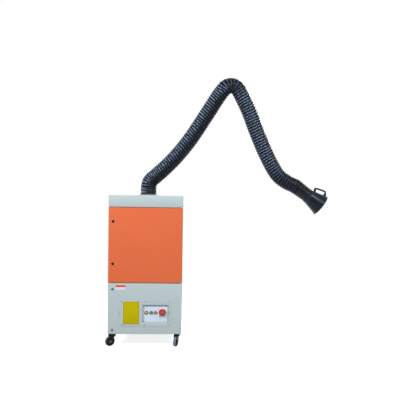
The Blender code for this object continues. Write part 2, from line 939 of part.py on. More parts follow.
def add_service_door(parent, grey, chrome, rubber):
    axis = pivot("service_door_axis", (hinge_x, hinge_y, service_door_bottom), parent)
    levels = (service_door_top - service_lock_top_drop, service_door_bottom + service_lock_bottom_rise)
    mesh = door_shell(service_door_bottom, service_door_top, levels)
    opening = rounded_rectangle(plate_width - 2 * plate_land, plate_height - 2 * plate_land, plate_corner)
    place = axes((0, door_front, plate_centre()), (0, 1, 0))
    mesh = cut(mesh, prism(opening, -overrun, panel_sheet + overrun, place))
    piece("service_door", mesh, grey, axis)
    piece("service_door_seal", door_seal(service_door_bottom, service_door_top), rubber, axis)
    add_locks("service_door", levels, key_lock_flange_radius, 3, chrome, chrome, axis)
    return axis


def plate_front():
    return door_front - fit - plate_sheet


def recess_floor():
    return plate_front() + recess_depth


def add_access_plate(door, grey):
    """Screwed cover plate with a pressed recess for the controls."""
    place = axes((0, plate_front(), plate_centre()), (0, 1, 0))
    plate = prism(rounded_rectangle(plate_width, plate_height, plate_corner), 0, plate_sheet, place)
    tray = rounded_rectangle(recess_width + 2 * plate_sheet, recess_height + 2 * plate_sheet,
                             recess_corner + plate_sheet)
    tray = prism(tray, overlap, recess_depth + plate_sheet, recess_place(plate_front()))
    hollow = rounded_rectangle(recess_width, recess_height, recess_corner)
    hollow = prism(hollow, -overrun, recess_depth, recess_place(plate_front()))
    piece("access_plate", cut(join(plate, tray), hollow), grey, door)


def control_spot(offset):
    """Frame on the control plate's face at one lamp, button or switch, with local Z into the door."""
    x = recess_offset_x + offset
    z = plate_centre() + lamp_row_rise + recess_offset_z
    return axes((x, recess_floor() - fit - control_sheet, z), (0, 1, 0))


def add_control_plate(door, pale):
    outline = rounded_rectangle(recess_width - 2 * control_margin, recess_height - 2 * control_margin,
                                recess_corner - control_margin)
    mesh = prism(outline, -fit - control_sheet, -fit, recess_place(recess_floor()))
    piece("control_plate", mesh, pale, door)


def cap_end(dome):
    """Front end of a lens or a button cap, proud of its bezel."""
    rim = -bezel_height - button_proud
    return [(button_radius, rim), (button_radius - button_proud / 2, rim - dome), (0, rim - dome)]


def add_amber_lamp(door, amber):
    """Lens and bezel in one."""
    profile = [(0, -fit), (bezel_radius, -fit), (bezel_radius, -bezel_height), (button_radius, -bezel_height)]
    lamp = lathe(profile + cap_end(lamp_dome), control_spot(amber_offset), round_sides)
    piece("amber_lamp", lamp, amber, door, smooth=True)


def add_buttons(door, pale, green, red):
    """Two push buttons in a twin bezel."""
    bore = button_radius + button_clearance
    ring = [(bore, -fit), (bezel_radius, -fit), (bezel_radius, -bezel_height), (bore, -bezel_height)]
    rings = []
    bores = []
    for name, offset, color in (("green_button", green_offset, green), ("red_button", red_offset, red)):
        place = control_spot(offset)
        axis = pivot(f"{name}_axis", place.translation, door)
        cap = [(0, -button_travel - fit), (button_radius, -button_travel - fit)] + cap_end(button_proud / 3)
        piece(name, lathe(cap, place, round_sides), color, axis, smooth=True)
        rings.append(lathe(ring, place, round_sides, close=True))
        bores.append(cylinder(bore, -overrun, overrun, place, round_sides))
    outline = rounded_bar((0, 0), (red_offset - green_offset, 0), bezel_radius - fit)
    web = prism(outline, -fit - bezel_web, -fit, control_spot(green_offset))
    piece("button_bezels", join(cut(web, *bores), *rings), pale, door, smooth=True)


def add_isolator(door, yellow, crimson):
    place = control_spot(isolator_offset)
    outline = rounded_rectangle(isolator_side, isolator_side, isolator_corner)
    plate = prism(outline, -fit - isolator_sheet, -fit, place)
    socket = cylinder(knob_spindle_radius + button_clearance, -overrun, overrun, place)
    piece("isolator_plate", cut(plate, socket), yellow, door)
    axis = pivot("isolator_axis", place.translation, door)
    seat = -isolator_sheet - 2 * fit
    rim = seat - knob_base
    profile = [(0, -2 * fit), (knob_spindle_radius, -2 * fit), (knob_spindle_radius, seat), (knob_radius, seat),
               (knob_radius, rim + fold_edge), (knob_radius - fold_edge, rim), (0, rim)]
    knob = lathe(profile, place, large_round)
    grip = prism(rounded_bar((0, knob_grip_width / 2 - knob_radius), (0, knob_radius - knob_grip_width / 2),
                             knob_grip_width / 2), rim - knob_grip_height, rim + overlap, place)
    piece("isolator_knob", join(knob, grip), crimson, axis, smooth=True)


# Castors


def castor_centre(name):
    end, side = name.split("_")
    x = cabinet_width / 2 - castor_inset_x
    y = body_front + castor_inset_y if end == "front" else rear_face - castor_inset_y
    return (x if side == "right" else -x), y


def castor_plate_mesh(x, y):
    low = -fit - castor_plate_sheet
    place = Matrix.Translation((x, y, 0))
    mesh = prism(rounded_rectangle(castor_plate_width, castor_plate_length, castor_plate_corner), low, -fit, place)
    raceway = cylinder(raceway_radius, low - raceway_height, low + castor_plate_sheet / 2, place, round_sides)
    bore = kingpin_radius + kingpin_clearance
    hole = cylinder(bore, low - raceway_height - overrun, low, place)
    return cut(join(mesh, raceway), hole)


def fork_levels():
    crown_top = -fit - castor_plate_sheet - raceway_height - fit
    axle = wheel_radius - castor_height
    return crown_top, axle


def leg_outline():
    """Side view of a fork leg: along the trail direction and up, from the crown down round the axle eye."""
    crown_top, axle = fork_levels()
    points = [(-crown_radius, crown_top), (-crown_radius, crown_top - crown_sheet)]
    for step in range(7):
        angle = math.radians(205 + 150 * step / 6)
        points.append((castor_trail + fork_eye_radius * math.cos(angle), axle + fork_eye_radius * math.sin(angle)))
    points += [(castor_trail + fork_eye_radius, crown_top - crown_sheet), (crown_radius, crown_top)]
    return points


def fork_mesh(place):
    """Fork with crown, two legs, kingpin and axle. The local X of place is the trail direction."""
    crown_top, axle = fork_levels()
    inner = wheel_width / 2 + wheel_side_gap
    outer = inner + fork_sheet
    sideways = place @ axes((0, 0, 0), (0, -1, 0), (1, 0, 0))
    legs = group(prism(leg_outline(), inner, outer, sideways), prism(leg_outline(), -outer, -inner, sideways))
    crown = box((-crown_radius, -inner - overlap, crown_top - crown_sheet),
                (castor_trail + fork_eye_radius - fork_sheet, inner + overlap, crown_top))
    crown.transform(place)
    kingpin_top = -fit - castor_plate_sheet - fit
    kingpin = cylinder(kingpin_radius, crown_top - crown_sheet / 2, kingpin_top, place)
    axle_place = place @ axes((castor_trail, 0, axle), (0, 1, 0))
    head = outer + axle_head_thickness
    profile = [(0, -head), (axle_head_radius, -head), (axle_head_radius, -outer + overlap),
               (axle_radius, -outer + overlap), (axle_radius, outer - overlap), (axle_head_radius, outer - overlap),
               (axle_head_radius, head), (0, head)]
    return join(crown, legs, kingpin, lathe(profile, axle_place, small_round))


def wheel_mesh(place):
    """Tyre and hub in one turned section, with a dished web and a bored hub."""
    _, axle = fork_levels()
    spin = place @ axes((castor_trail, 0, axle), (0, 1, 0))
    half = wheel_width / 2
    bore = axle_radius + axle_clearance
    hub = axle_radius + tyre_thickness / 2
    felloe = wheel_radius - tyre_thickness
    side = [(bore, half), (hub, half), (hub + wheel_groove, wheel_web / 2), (felloe - wheel_groove, wheel_web / 2),
            (felloe, half - wheel_groove / 2), (wheel_radius - wheel_groove, half), (wheel_radius, half / 2)]
    profile = side + [(radius, -height) for radius, height in reversed(side)]
    return lathe(profile, spin, wheel_sides, close=True)


def add_castor(name, parent, steel, black, rubber):
    x, y = castor_centre(name)
    piece(f"castor_plate_{name}", castor_plate_mesh(x, y), steel, parent)
    swivel = pivot(f"castor_swivel_{name}", (x, y, 0), parent)
    turn = Matrix.Rotation(math.radians(castor_trail_deg[name]), 4, "Z")
    place = Matrix.Translation((x, y, 0)) @ turn
    piece(f"castor_fork_{name}", fork_mesh(place), black, swivel)
    _, axle = fork_levels()
    spin = pivot(f"castor_axle_{name}", place @ Vector((castor_trail, 0, axle)), swivel)
    piece(f"castor_wheel_{name}", wheel_mesh(place), rubber, spin, smooth=True)


# Arm


def add_inlet_flange(parent, pale):
    place = Matrix.Translation((0, 0, cabinet_height))
    profile = [(flange_bore_radius, -flange_neck_depth), (flange_neck_radius, -flange_neck_depth),
               (flange_neck_radius, fit), (flange_radius, fit), (flange_radius, flange_thickness - fold_edge),
               (flange_radius - fold_edge, flange_thickness), (flange_bore_radius, flange_thickness)]
    piece("inlet_flange", lathe(profile, place, large_round, close=True), pale, parent, smooth=True)


def clamp_profile():
    """Outer side of the collar, bottom to top, with its two clamp bands."""
    points = []
    for level in clamp_levels:
        points += [(collar_radius, level), (collar_radius + clamp_rise, level),
                   (collar_radius + clamp_rise, level + clamp_width), (collar_radius, level + clamp_width)]
    return points


def ears(centre, root, half_gap, radius):
    """Two fork cheeks from root to the bolt at centre, one each side of the arm's plane."""
    place = axes((0, 0, 0), (0, -1, 0))
    cheeks = []
    for low, high in ((half_gap, half_gap + ear_thickness), (-half_gap - ear_thickness, -half_gap)):
        outline = rounded_bar((root.x, root.z), (centre.x, centre.z), radius)
        cheeks.append(prism(outline, low, high, place))
    return group(*cheeks)


def bolt_hole(centre):
    place = axes(centre, (0, 1, 0))
    reach = link_thickness + ear_thickness + overrun
    return cylinder(bolt_radius + bolt_clearance, -reach, reach, place)


def add_swivel_collar(turret, black):
    """Turning collar that carries the hose, with a cross bar, the shoulder fork and its riveted pin inside."""
    place = Matrix.Translation((0, 0, cabinet_height))
    foot = flange_thickness + fit
    spigot_radius = flange_bore_radius * math.cos(math.pi / large_round) - swivel_clearance
    spigot_bore = spigot_radius - spigot_wall
    profile = [(spigot_bore, foot - spigot_depth), (spigot_radius, foot - spigot_depth), (spigot_radius, foot),
               (collar_foot_radius, foot), (collar_foot_radius, foot + collar_foot_height),
               (collar_radius, foot + collar_foot_height)]
    profile += clamp_profile()
    profile += [(collar_radius, collar_height), (collar_bore_radius, collar_height),
                (collar_bore_radius, foot + collar_foot_height), (spigot_bore, foot)]
    mesh = lathe(profile, place, large_round, close=True)
    bar_top = cabinet_height + collar_height - cross_bar_drop
    reach = (collar_bore_radius + collar_radius) / 2
    bar = box((-cross_bar_width / 2, -reach, bar_top - cross_bar_height), (cross_bar_width / 2, reach, bar_top))
    root = Vector((0, 0, bar_top - cross_bar_height + lug_radius))
    half_gap = link_thickness / 2 + fit
    fork = ears(shoulder, root, half_gap, lug_radius)
    pin = bolt(shoulder, half_gap + ear_thickness - overlap)
    piece("swivel_collar", join(mesh, bar, fork, pin), black, turret, smooth=True)


def bolt(centre, inner):
    """Headed pin across the arm's plane, with inner as half the length between its heads."""
    head = inner + bolt_head_thickness
    profile = [(0, -head), (bolt_head_radius, -head), (bolt_head_radius, -inner), (bolt_radius, -inner),
               (bolt_radius, inner), (bolt_head_radius, inner), (bolt_head_radius, head), (0, head)]
    return lathe(profile, axes(centre, (0, 1, 0)), small_round)


def link_body(start, degrees, first, last, thickness):
    """Flat bar from distance first to last along a link, set outwards from the pivot line between its ramps."""
    along = direction(degrees)
    out = outward(degrees)
    half = link_width / 2
    stations = [(first, 0), (first + link_ramp, link_offset), (last - link_ramp, link_offset), (last, 0)]
    outline = []
    for side in (-1, 1):
        edge = []
        for distance, offset in stations:
            point = start + along * distance + out * (offset + side * half)
            edge.append((point.x, point.z))
        outline += edge if side < 0 else edge[::-1]
    place = axes((0, 0, 0), (0, -1, 0))
    mesh = prism(outline, -thickness / 2, thickness / 2, place)
    pitch = link_slot_length + link_slot_gap
    span = last - first - 2 * (link_ramp + link_slot_gap)
    count = max(int(span / pitch), 1)
    slots = []
    for index in range(count):
        middle = (first + last) / 2 + (index - (count - 1) / 2) * pitch
        ends = []
        for reach in (-1, 1):
            distance = middle + reach * (link_slot_length - link_slot_width) / 2
            point = start + along * distance + out * link_offset
            ends.append((point.x, point.z))
        outline = rounded_bar(ends[0], ends[1], link_slot_width / 2, steps=3)
        slots.append(prism(outline, -thickness, thickness, place))
    return cut(mesh, group(*slots))


def lug(centre, thickness):
    return cylinder(lug_radius, -thickness / 2, thickness / 2, axes(centre, (0, 1, 0)), small_round)


def upper_thickness():
    return link_thickness + 2 * fit + 2 * overlap


def add_lower_link(lower_arm, aluminium):
    mesh = link_body(shoulder, lower_link_deg, 0, lower_link_length, link_thickness)
    mesh = join(mesh, lug(shoulder, link_thickness), lug(elbow, link_thickness))
    mesh = cut(mesh, bolt_hole(shoulder), bolt_hole(elbow))
    piece("lower_link", mesh, aluminium, lower_arm, smooth=True)


def add_upper_link(upper_arm, aluminium):
    """Upper link: a fork round the lower link's lug at the elbow and a single lug at the wrist."""
    thickness = upper_thickness()
    first = lug_radius + fork_throat
    mesh = link_body(elbow, upper_link_deg, first, upper_link_length, thickness)
    root = elbow + direction(upper_link_deg) * fork_reach + outward(upper_link_deg) * link_offset
    fork = ears(elbow, root, link_thickness / 2 + fit, link_width / 2)
    mesh = join(mesh, fork, lug(wrist, thickness))
    throat = cylinder(lug_radius + fork_throat, -link_thickness / 2 - fit, link_thickness / 2 + fit,
                      axes(elbow, (0, 1, 0)), round_sides)
    mesh = cut(mesh, throat, bolt_hole(elbow), bolt_hole(wrist))
    piece("upper_link", mesh, aluminium, upper_arm, smooth=True)


# Hood


def hood_place():
    return axes(wrist, direction(hood_deg), (0, 1, 0))


def hood_point(along, height):
    return wrist + direction(hood_deg) * along + outward(hood_deg) * height


def seam():
    return neck_start + neck_length


def add_hood_neck(neck, black):
    """Neck tube with a hose cuff, a cross bar and the wrist fork that reaches back inside the hose."""
    end = seam()
    cuff_end = neck_start + neck_cuff_length
    inside = neck_radius - neck_wall
    bead = end - cone_socket - neck_bead_width - fit
    profile = [(inside, neck_start), (neck_cuff_radius, neck_start), (neck_cuff_radius, cuff_end),
               (neck_radius, cuff_end + neck_cuff_radius - neck_radius), (neck_radius, bead),
               (neck_radius + neck_bead, bead), (neck_radius + neck_bead, bead + neck_bead_width),
               (neck_radius, bead + neck_bead_width), (neck_radius, end), (inside, end)]
    mesh = lathe(profile, hood_place(), large_round, close=True)
    reach = (inside + neck_radius) / 2
    bar = box((-reach, -neck_bar_width / 2, cuff_end), (reach, neck_bar_width / 2, cuff_end + neck_bar_thickness))
    bar.transform(hood_place())
    half_gap = upper_thickness() / 2 + fit
    root = hood_point(cuff_end + neck_bar_thickness - neck_bar_width / 2, 0)
    fork = ears(wrist, root, half_gap, neck_bar_width / 2)
    mesh = join(mesh, bar, fork)
    piece("hood_neck", cut(mesh, bolt_hole(wrist)), black, neck, smooth=True)


def cone_outline(grow=0):
    """Outer side of the cone, from its socket to the rim, as (radius, distance from the wrist)."""
    socket = seam() - cone_socket
    mouth = seam() + cone_length
    return [(cone_small_radius + grow, socket), (cone_small_radius + grow, seam()),
            (cone_mouth_radius + grow, mouth)]


def add_hood_cone(hood, black):
    socket, small, mouth = cone_outline()
    bore = neck_radius / math.cos(math.pi / large_round) + fit
    rim = (cone_mouth_radius + cone_rim, mouth[1])
    rim_back = (cone_mouth_radius + cone_rim, mouth[1] - cone_rim_width)
    slope = (cone_mouth_radius - cone_small_radius) / cone_length
    behind_rim = (cone_mouth_radius - slope * cone_rim_width, mouth[1] - cone_rim_width)
    profile = [(bore, socket[1]), socket, small, behind_rim, rim_back, rim,
               (cone_mouth_radius - cone_wall, mouth[1]), (cone_small_radius - cone_wall, seam() + fit),
               (bore, seam() + fit)]
    piece("hood_cone", lathe(profile, hood_place(), large_round, close=True), black, hood, smooth=True)


def handle_path():
    """Handle's centreline in the arm's plane: up the back leg, along the grip, down the front leg."""
    back_foot = hood_point(seam() + handle_back, cone_small_radius - handle_radius)
    back = hood_point(seam() - handle_back, handle_back_height)
    top = hood_point(seam() + handle_top, handle_top_height)
    front = hood_point(seam() + handle_front, handle_front_height)
    front_foot = hood_point(seam() + handle_front, cone_small_radius)
    corners = [back_foot, back, top, front, front_foot]
    path = [corners[0]]
    for before, corner, after in zip(corners, corners[1:], corners[2:]):
        start = corner + (before - corner).normalized() * handle_corner_radius
        end = corner + (after - corner).normalized() * handle_corner_radius
        for step in range(handle_corner_steps + 1):
            t = step / handle_corner_steps
            path.append(start.lerp(corner, t).lerp(corner.lerp(end, t), t))
    path.append(corners[-1])
    return path


def tube(path, radius, sides):
    loops = []
    for index, point in enumerate(path):
        before = path[max(index - 1, 0)]
        after = path[min(index + 1, len(path) - 1)]
        tangent = (after - before).normalized()
        place = axes(point, tangent, (0, 1, 0))
        turns = [2 * math.pi * i / sides for i in range(sides)]
        loops.append([place @ Vector((radius * math.cos(a), radius * math.sin(a), 0)) for a in turns])
    return loft(loops)


def add_hood_handle(hood, black):
    """D-shaped handle whose feet are cut to the cone they stand on."""
    grip = tube(handle_path(), handle_radius, handle_sides)
    outline = cone_outline(fit)
    slope = (cone_mouth_radius - cone_small_radius) / cone_length
    outline.append((cone_mouth_radius + fit + slope * overrun, outline[-1][1] + overrun))
    body = lathe([(0, outline[0][1])] + outline + [(0, outline[-1][1])], hood_place(), large_round)
    piece("hood_handle", cut(grip, body), black, hood, smooth=True)


# Hose


def link_station(start, degrees, distance, offset, turn, reach_in, reach_out):
    """Anchor of the hose's centreline: point, direction and the two handle lengths."""
    point = start + direction(degrees) * distance + outward(degrees) * offset
    return point, degrees + turn, reach_in, reach_out


def hose_anchors():
    """Anchors in order from the collar to the hood. The hose bows round its skeleton, as in use."""
    bisector = (lower_link_deg + upper_link_deg) / 2
    apex = elbow + outward(bisector) * elbow_bend_rise
    centre = apex - outward(bisector) * elbow_bend_radius
    arc_reach = elbow_bend_radius * 4 / 3 * math.tan(math.radians(elbow_bend_deg) / 4)
    arc = []
    for turn in (elbow_bend_deg, 0, -elbow_bend_deg):
        arc.append((centre + outward(bisector + turn) * elbow_bend_radius, bisector + turn))
    low = lower_link_length
    up = upper_link_length
    dia = 2 * hose_radius
    collar_top = Vector((0, 0, cabinet_height + collar_height + hose_joint_gap))
    neck_end = hood_point(neck_start - hose_joint_gap, 0)
    neck_lead = neck_end - direction(hood_deg) * hose_neck_lead
    return [
        (collar_top, 90, 0, hose_collar_lead / 3),
        (collar_top + direction(90) * hose_collar_lead, 90, hose_collar_lead / 3, 0.14 * dia),
        link_station(shoulder, lower_link_deg, 0.38 * dia, -0.05 * dia, -10, 0.31 * dia, 0.07 * low),
        link_station(shoulder, lower_link_deg, 0.32 * low, -0.245 * dia, 0.5, 0.09 * low, 0.17 * low),
        link_station(shoulder, lower_link_deg, 0.72 * low, 0.09 * dia, 8, 0.148 * low, 0.086 * low),
        (*arc[0], 0.08 * low, arc_reach),
        (*arc[1], arc_reach, arc_reach),
        (*arc[2], arc_reach, 0.10 * up),
        link_station(elbow, upper_link_deg, 0.375 * up, 0.154 * dia, -10, 0.12 * up, 0.14 * up),
        link_station(elbow, upper_link_deg, 0.86 * up, -0.19 * dia, -1, 0.14 * up, 0.14 * up),
        (hood_point(0.52 * dia, -0.12 * dia), hood_deg + 3, 0.42 * dia, 0.37 * dia),
        (neck_lead, hood_deg, 0.28 * dia, hose_neck_lead / 3),
        (neck_end, hood_deg, hose_neck_lead / 3, 0),
    ]


def hose_centreline():
    """Finely sampled centreline as (distance along it, point)."""
    anchors = hose_anchors()
    points = [anchors[0][0]]
    for here, there in zip(anchors, anchors[1:]):
        first = here[0] + direction(here[1]) * here[3]
        second = there[0] - direction(there[1]) * there[2]
        points += interpolate_bezier(here[0], first, second, there[0], bezier_steps)[1:]
    path = [(0.0, points[0])]
    for before, after in zip(points, points[1:]):
        path.append((path[-1][0] + (after - before).length, after))
    return path


def along_path(path, distance):
    """Point and unit tangent of the centreline at a distance along it."""
    for (start, before), (end, after) in zip(path, path[1:]):
        if distance <= end:
            break
    share = (distance - start) / (end - start)
    return before.lerp(after, share), (after - before).normalized()


def crossing(path, origin, degrees, reach, first):
    """Distance at which the centreline, from first on, passes a plane square to a link."""
    target = origin.dot(direction(degrees)) + reach
    for (start, before), (end, after) in zip(path, path[1:]):
        low = before.dot(direction(degrees)) - target
        high = after.dot(direction(degrees)) - target
        if start >= first and low <= 0 < high:
            return start + (end - start) * low / (low - high)
    return path[-1][0]


def hose_ring(path, distance, radius):
    point, tangent = along_path(path, distance)
    place = axes(point, tangent, Vector((0, 1, 0)).cross(tangent))
    turns = [2 * math.pi * i / hose_sides for i in range(hose_sides)]
    return [place @ Vector((radius * math.cos(a), radius * math.sin(a), 0)) for a in turns]


def ribbed_tube(path, start, end, bore_step):
    """One open-ended tube: ribs outside, a plainer bore inside. Also its least gap between crests."""
    ribs = max(round((end - start) / rib_pitch), 2)
    stations = [start + (end - start) * i / (2 * ribs) for i in range(2 * ribs + 1)]
    outer = []
    for index, distance in enumerate(stations):
        radius = hose_radius if index % 2 else hose_valley_radius
        outer.append(hose_ring(path, distance, radius))
    inner = []
    for index in range(2 * ribs, -1, -bore_step):
        inner.append(hose_ring(path, stations[index], hose_bore_radius))
    if (2 * ribs) % bore_step:
        inner.append(hose_ring(path, stations[0], hose_bore_radius))
    crests = outer[1::2]
    least = min((a - b).length for low, high in zip(crests, crests[1:]) for a, b in zip(low, high))
    return loft(outer + inner, close=True), least


def add_hose(bodies, rubber):
    path = hose_centreline()
    total = path[-1][0]
    lower_start = crossing(path, shoulder, lower_link_deg, hose_run_clear, 0)
    lower_end = crossing(path, shoulder, lower_link_deg, lower_link_length - hose_run_clear, lower_start)
    upper_start = crossing(path, elbow, upper_link_deg, hose_run_clear, lower_end)
    upper_end = crossing(path, elbow, upper_link_deg, upper_link_length - hose_wrist_clear, upper_start)
    runs = [("hose_shoulder_bend", 0, lower_start, "turret", 3),
            ("hose_lower_run", lower_start, lower_end, "lower_arm", 8),
            ("hose_elbow_bend", lower_end, upper_start, "lower_arm", 3),
            ("hose_upper_run", upper_start, upper_end, "upper_arm", 8),
            ("hose_wrist_bend", upper_end, total, "upper_arm", 6)]
    for name, start, end, body, bore_step in runs:
        first = start + (hose_joint_gap / 2 if start > 0 else 0)
        last = end - (hose_joint_gap / 2 if end < total else 0)
        mesh, least = ribbed_tube(path, first, last, bore_step)
        piece(name, mesh, rubber, bodies[body], smooth=False)
        print(f"{name}: {last - first:.3f} m long, least gap between crests {least * 1000:.2f} mm")


def main():
    clear_scene()
    pale_steel = paint("pale_grey_paint", (0.52, 0.61, 0.61), 0.45)
    zinc = paint("zinc_plate", (0.62, 0.64, 0.66), 0.35, 1.0)
    orange = paint("orange_paint", (0.76, 0.17, 0.07), 0.4)
    black = paint("black_plastic", (0.02, 0.021, 0.024), 0.5)
    chrome = paint("chrome", (0.75, 0.77, 0.8), 0.15, 1.0)
    rubber = paint("rubber", (0.03, 0.03, 0.032), 0.7)
    hose_skin = paint("hose_black", (0.028, 0.032, 0.038), 0.55)
    media = paint("filter_media", (0.75, 0.74, 0.7), 0.9)
    iron = paint("motor_paint", (0.2, 0.26, 0.32), 0.5)
    aluminium = paint("aluminium", (0.72, 0.73, 0.75), 0.35, 1.0)
    pale_blue = paint("control_plate_white", (0.68, 0.78, 0.88), 0.4)
    amber = paint("amber_lens", (0.9, 0.45, 0.03), 0.25)
    green = paint("green_cap", (0.03, 0.4, 0.12), 0.35)
    red = paint("red_cap", (0.6, 0.02, 0.02), 0.35)
    yellow = paint("yellow_plate", (0.75, 0.65, 0.02), 0.45)
    crimson = paint("crimson_knob", (0.45, 0.01, 0.03), 0.4)

    cabinet = pivot("cabinet", (0, 0, 0))
    add_base_pan(cabinet, pale_steel)
    add_top_cover(cabinet, pale_steel)
    add_side_panel("left_side_panel", -1, cabinet, pale_steel)
    add_side_panel("right_side_panel", 1, cabinet, pale_steel)
    add_rear_panel(cabinet, pale_steel)
    add_cable_gland(cabinet, black)
    add_front_frame(cabinet, pale_steel)
    add_partition_plate(cabinet, zinc)
    add_main_filter(cabinet, media)
    add_prefilter(cabinet, media)
    add_spark_arrestor(cabinet, zinc)
    add_fan_housing(cabinet, zinc)
    add_fan_motor(cabinet, iron)
    rotor = pivot("fan_axis", (fan_centre_x, fan_centre_y, fan_housing_bottom()), cabinet)
    add_fan_impeller(rotor, aluminium)
    add_filter_door(cabinet, orange, black, rubber)
    door = add_service_door(cabinet, pale_steel, chrome, rubber)
    add_access_plate(door, pale_steel)
    add_control_plate(door, pale_blue)
    add_amber_lamp(door, amber)
    add_buttons(door, black, green, red)
    add_isolator(door, yellow, crimson)
    for name in castor_trail_deg:
        add_castor(name, cabinet, zinc, black, rubber)

    add_inlet_flange(cabinet, pale_steel)
    turret = pivot("turret", (0, 0, cabinet_height), cabinet)
    lower_arm = pivot("lower_arm", shoulder, turret)
    upper_arm = pivot("upper_arm", elbow, lower_arm)
    neck = pivot("neck", wrist, upper_arm)
    hood = pivot("hood", hood_point(seam(), 0), neck)
    add_swivel_collar(turret, black)
    add_lower_link(lower_arm, aluminium)
    outer_ear = ear_thickness + 2 * fit
    piece("elbow_bolt", bolt(elbow, link_thickness / 2 + outer_ear), zinc, lower_arm, smooth=True)
    add_upper_link(upper_arm, aluminium)
    piece("wrist_bolt", bolt(wrist, upper_thickness() / 2 + outer_ear), zinc, upper_arm, smooth=True)
    add_hood_neck(neck, black)
    add_hood_cone(hood, black)
    add_hood_handle(hood, black)
    add_hose({"turret": turret, "lower_arm": lower_arm, "upper_arm": upper_arm}, hose_skin)


main()
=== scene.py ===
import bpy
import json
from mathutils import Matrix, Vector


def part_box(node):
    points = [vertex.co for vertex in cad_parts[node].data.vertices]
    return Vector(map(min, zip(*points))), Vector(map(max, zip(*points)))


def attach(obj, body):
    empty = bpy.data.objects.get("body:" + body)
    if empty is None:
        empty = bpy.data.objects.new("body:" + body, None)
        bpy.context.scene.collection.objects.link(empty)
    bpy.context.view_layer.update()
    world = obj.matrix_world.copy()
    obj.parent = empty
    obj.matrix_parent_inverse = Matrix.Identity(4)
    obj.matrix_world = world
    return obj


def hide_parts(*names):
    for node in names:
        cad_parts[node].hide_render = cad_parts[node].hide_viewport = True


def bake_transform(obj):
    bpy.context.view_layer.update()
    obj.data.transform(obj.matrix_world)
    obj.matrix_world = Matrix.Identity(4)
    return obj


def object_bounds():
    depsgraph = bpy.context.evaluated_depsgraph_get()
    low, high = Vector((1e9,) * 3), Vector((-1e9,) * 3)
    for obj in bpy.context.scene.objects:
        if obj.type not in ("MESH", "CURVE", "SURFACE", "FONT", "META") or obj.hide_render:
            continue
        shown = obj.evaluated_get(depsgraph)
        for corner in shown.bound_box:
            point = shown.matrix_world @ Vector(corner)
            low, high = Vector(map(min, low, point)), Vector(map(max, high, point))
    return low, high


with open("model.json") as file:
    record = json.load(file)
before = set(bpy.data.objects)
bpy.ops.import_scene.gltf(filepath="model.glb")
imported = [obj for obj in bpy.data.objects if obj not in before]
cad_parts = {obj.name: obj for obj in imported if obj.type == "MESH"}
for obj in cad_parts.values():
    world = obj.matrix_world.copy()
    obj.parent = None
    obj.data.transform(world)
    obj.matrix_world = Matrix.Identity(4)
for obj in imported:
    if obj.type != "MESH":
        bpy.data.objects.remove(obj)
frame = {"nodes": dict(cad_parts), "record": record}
cad_box = [list(corner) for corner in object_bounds()]

import json
import math

import bmesh
import bpy
from mathutils import Matrix, Vector, noise
from mathutils.geometry import interpolate_bezier

# Cabinet, doors and sheet thicknesses
fit = 0.0003
overlap = 0.001
cut_reach = 0.010
cut_depth = 0.012
cabinet_width = 0.650
cabinet_depth = 0.600
cabinet_height = 1.225
cover_height = 0.102
base_height = 0.030
door_width = 0.648
door_depth = 0.022
door_lip = 0.023
door_front = -0.300
door_sheet = 0.002
lock_x = -0.2835
lock_bore = 0.0098
filter_locks = (0.9946, 0.62361)
service_locks = (0.40221, 0.0422)
cover_sheet = 0.003
cover_lip = 0.0272
base_lip = 0.025
inlet_radius = 0.0698
fold_corner = 0.005
fold_edge = 0.0038
rear_face = 0.300
rear_screw_end = 0.030
rear_screw_margin = 0.012

# Arm, in its own plane
shoulder = Vector((0, 0, 1.350))
lower_length = 1.177
lower_deg = 49.5
upper_length = 0.9395
upper_deg = -59.56
hood_deg = -35.5
link_thickness = 0.012
ear_thickness = 0.004
ear_radius = 0.016

# Hose
rib_pitch = 0.025
rib_steps = 12
hose_radius = 0.0715
hose_crest = 0.0746
hose_valley = 0.0697
hose_bore = 0.0660
hose_end = 0.0690
hose_sides = 48
hose_lead = 0.010
neck_lead = 0.020
elbow_radius = 0.085
elbow_rise = 0.020
elbow_turn = 56
path_steps = 120
tangent_reach = 0.004
lower_cut = 0.636
upper_cut = 1.775
wrinkled_end = 0.115
collar_reach = 0.06
elbow_at = 1.27
rib_lean = 0.28
packed_end = 0.22
packed_ribs = 3
lean_start = 0.10
lean_end = 1.15
rib_shift = 0.0045

# Collar
collar_height = 0.076
collar_radius = 0.070
shell_radius = 0.0715

# Hood
hood_ear = 0.012
neck_start = 0.199
neck_cuff = 0.018
neck_radius = 0.0615
neck_cuff_radius = 0.0665
neck_wall = 0.002
seam_at = 0.340
cone_socket = 0.018
cone_small = 0.0675
cone_mouth = 0.1005
cone_length = 0.140
cone_wall = 0.0025
cone_bore = 0.0626
cone_slope = (cone_mouth - cone_small) / cone_length
handle_bend = 0.014

# Access plate and controls
plate_size = (0.454, 0.230)
plate_centre = 0.18727
plate_corner = 0.014
plate_front = -0.3023
plate_overlap = 0.026
yellow_size = (0.144, 0.202)
recess_size = (0.228, 0.156)
recess_centre = (0.095, -0.004)
recess_corner = 0.008
recess_depth = 0.020
control_face = -0.2841
lamp_row = 0.19187
lamp_columns = {"amber": 0.014, "green": 0.056, "red": 0.095}
lens_radius = 0.0086
lens_rim = 0.0092
lens_dome = 0.0038
isolator_x = 0.156
isolator_rise = 0.0015
knob_radius = 0.0302

# Castors
wheel_radius = 0.0445
tread_depth = 0.0050
wheel_half = 0.0125
fork_inner = 0.0140
fork_sheet = 0.003
fork_eye = 0.011
trail_length = 0.028
crown_top = -0.0116
crown_sheet = 0.0180

# Fan
blade_sweep = math.radians(48)

# Fineness of curves
fine = 6
smooth_sides = 96
round_sides = 64
small_sides = 32


def direction(degrees):
    """Unit vector in the arm's plane, measured from +X towards +Z."""
    return Vector((math.cos(math.radians(degrees)), 0, math.sin(math.radians(degrees))))


def outward(degrees):
    return direction(degrees + 90)


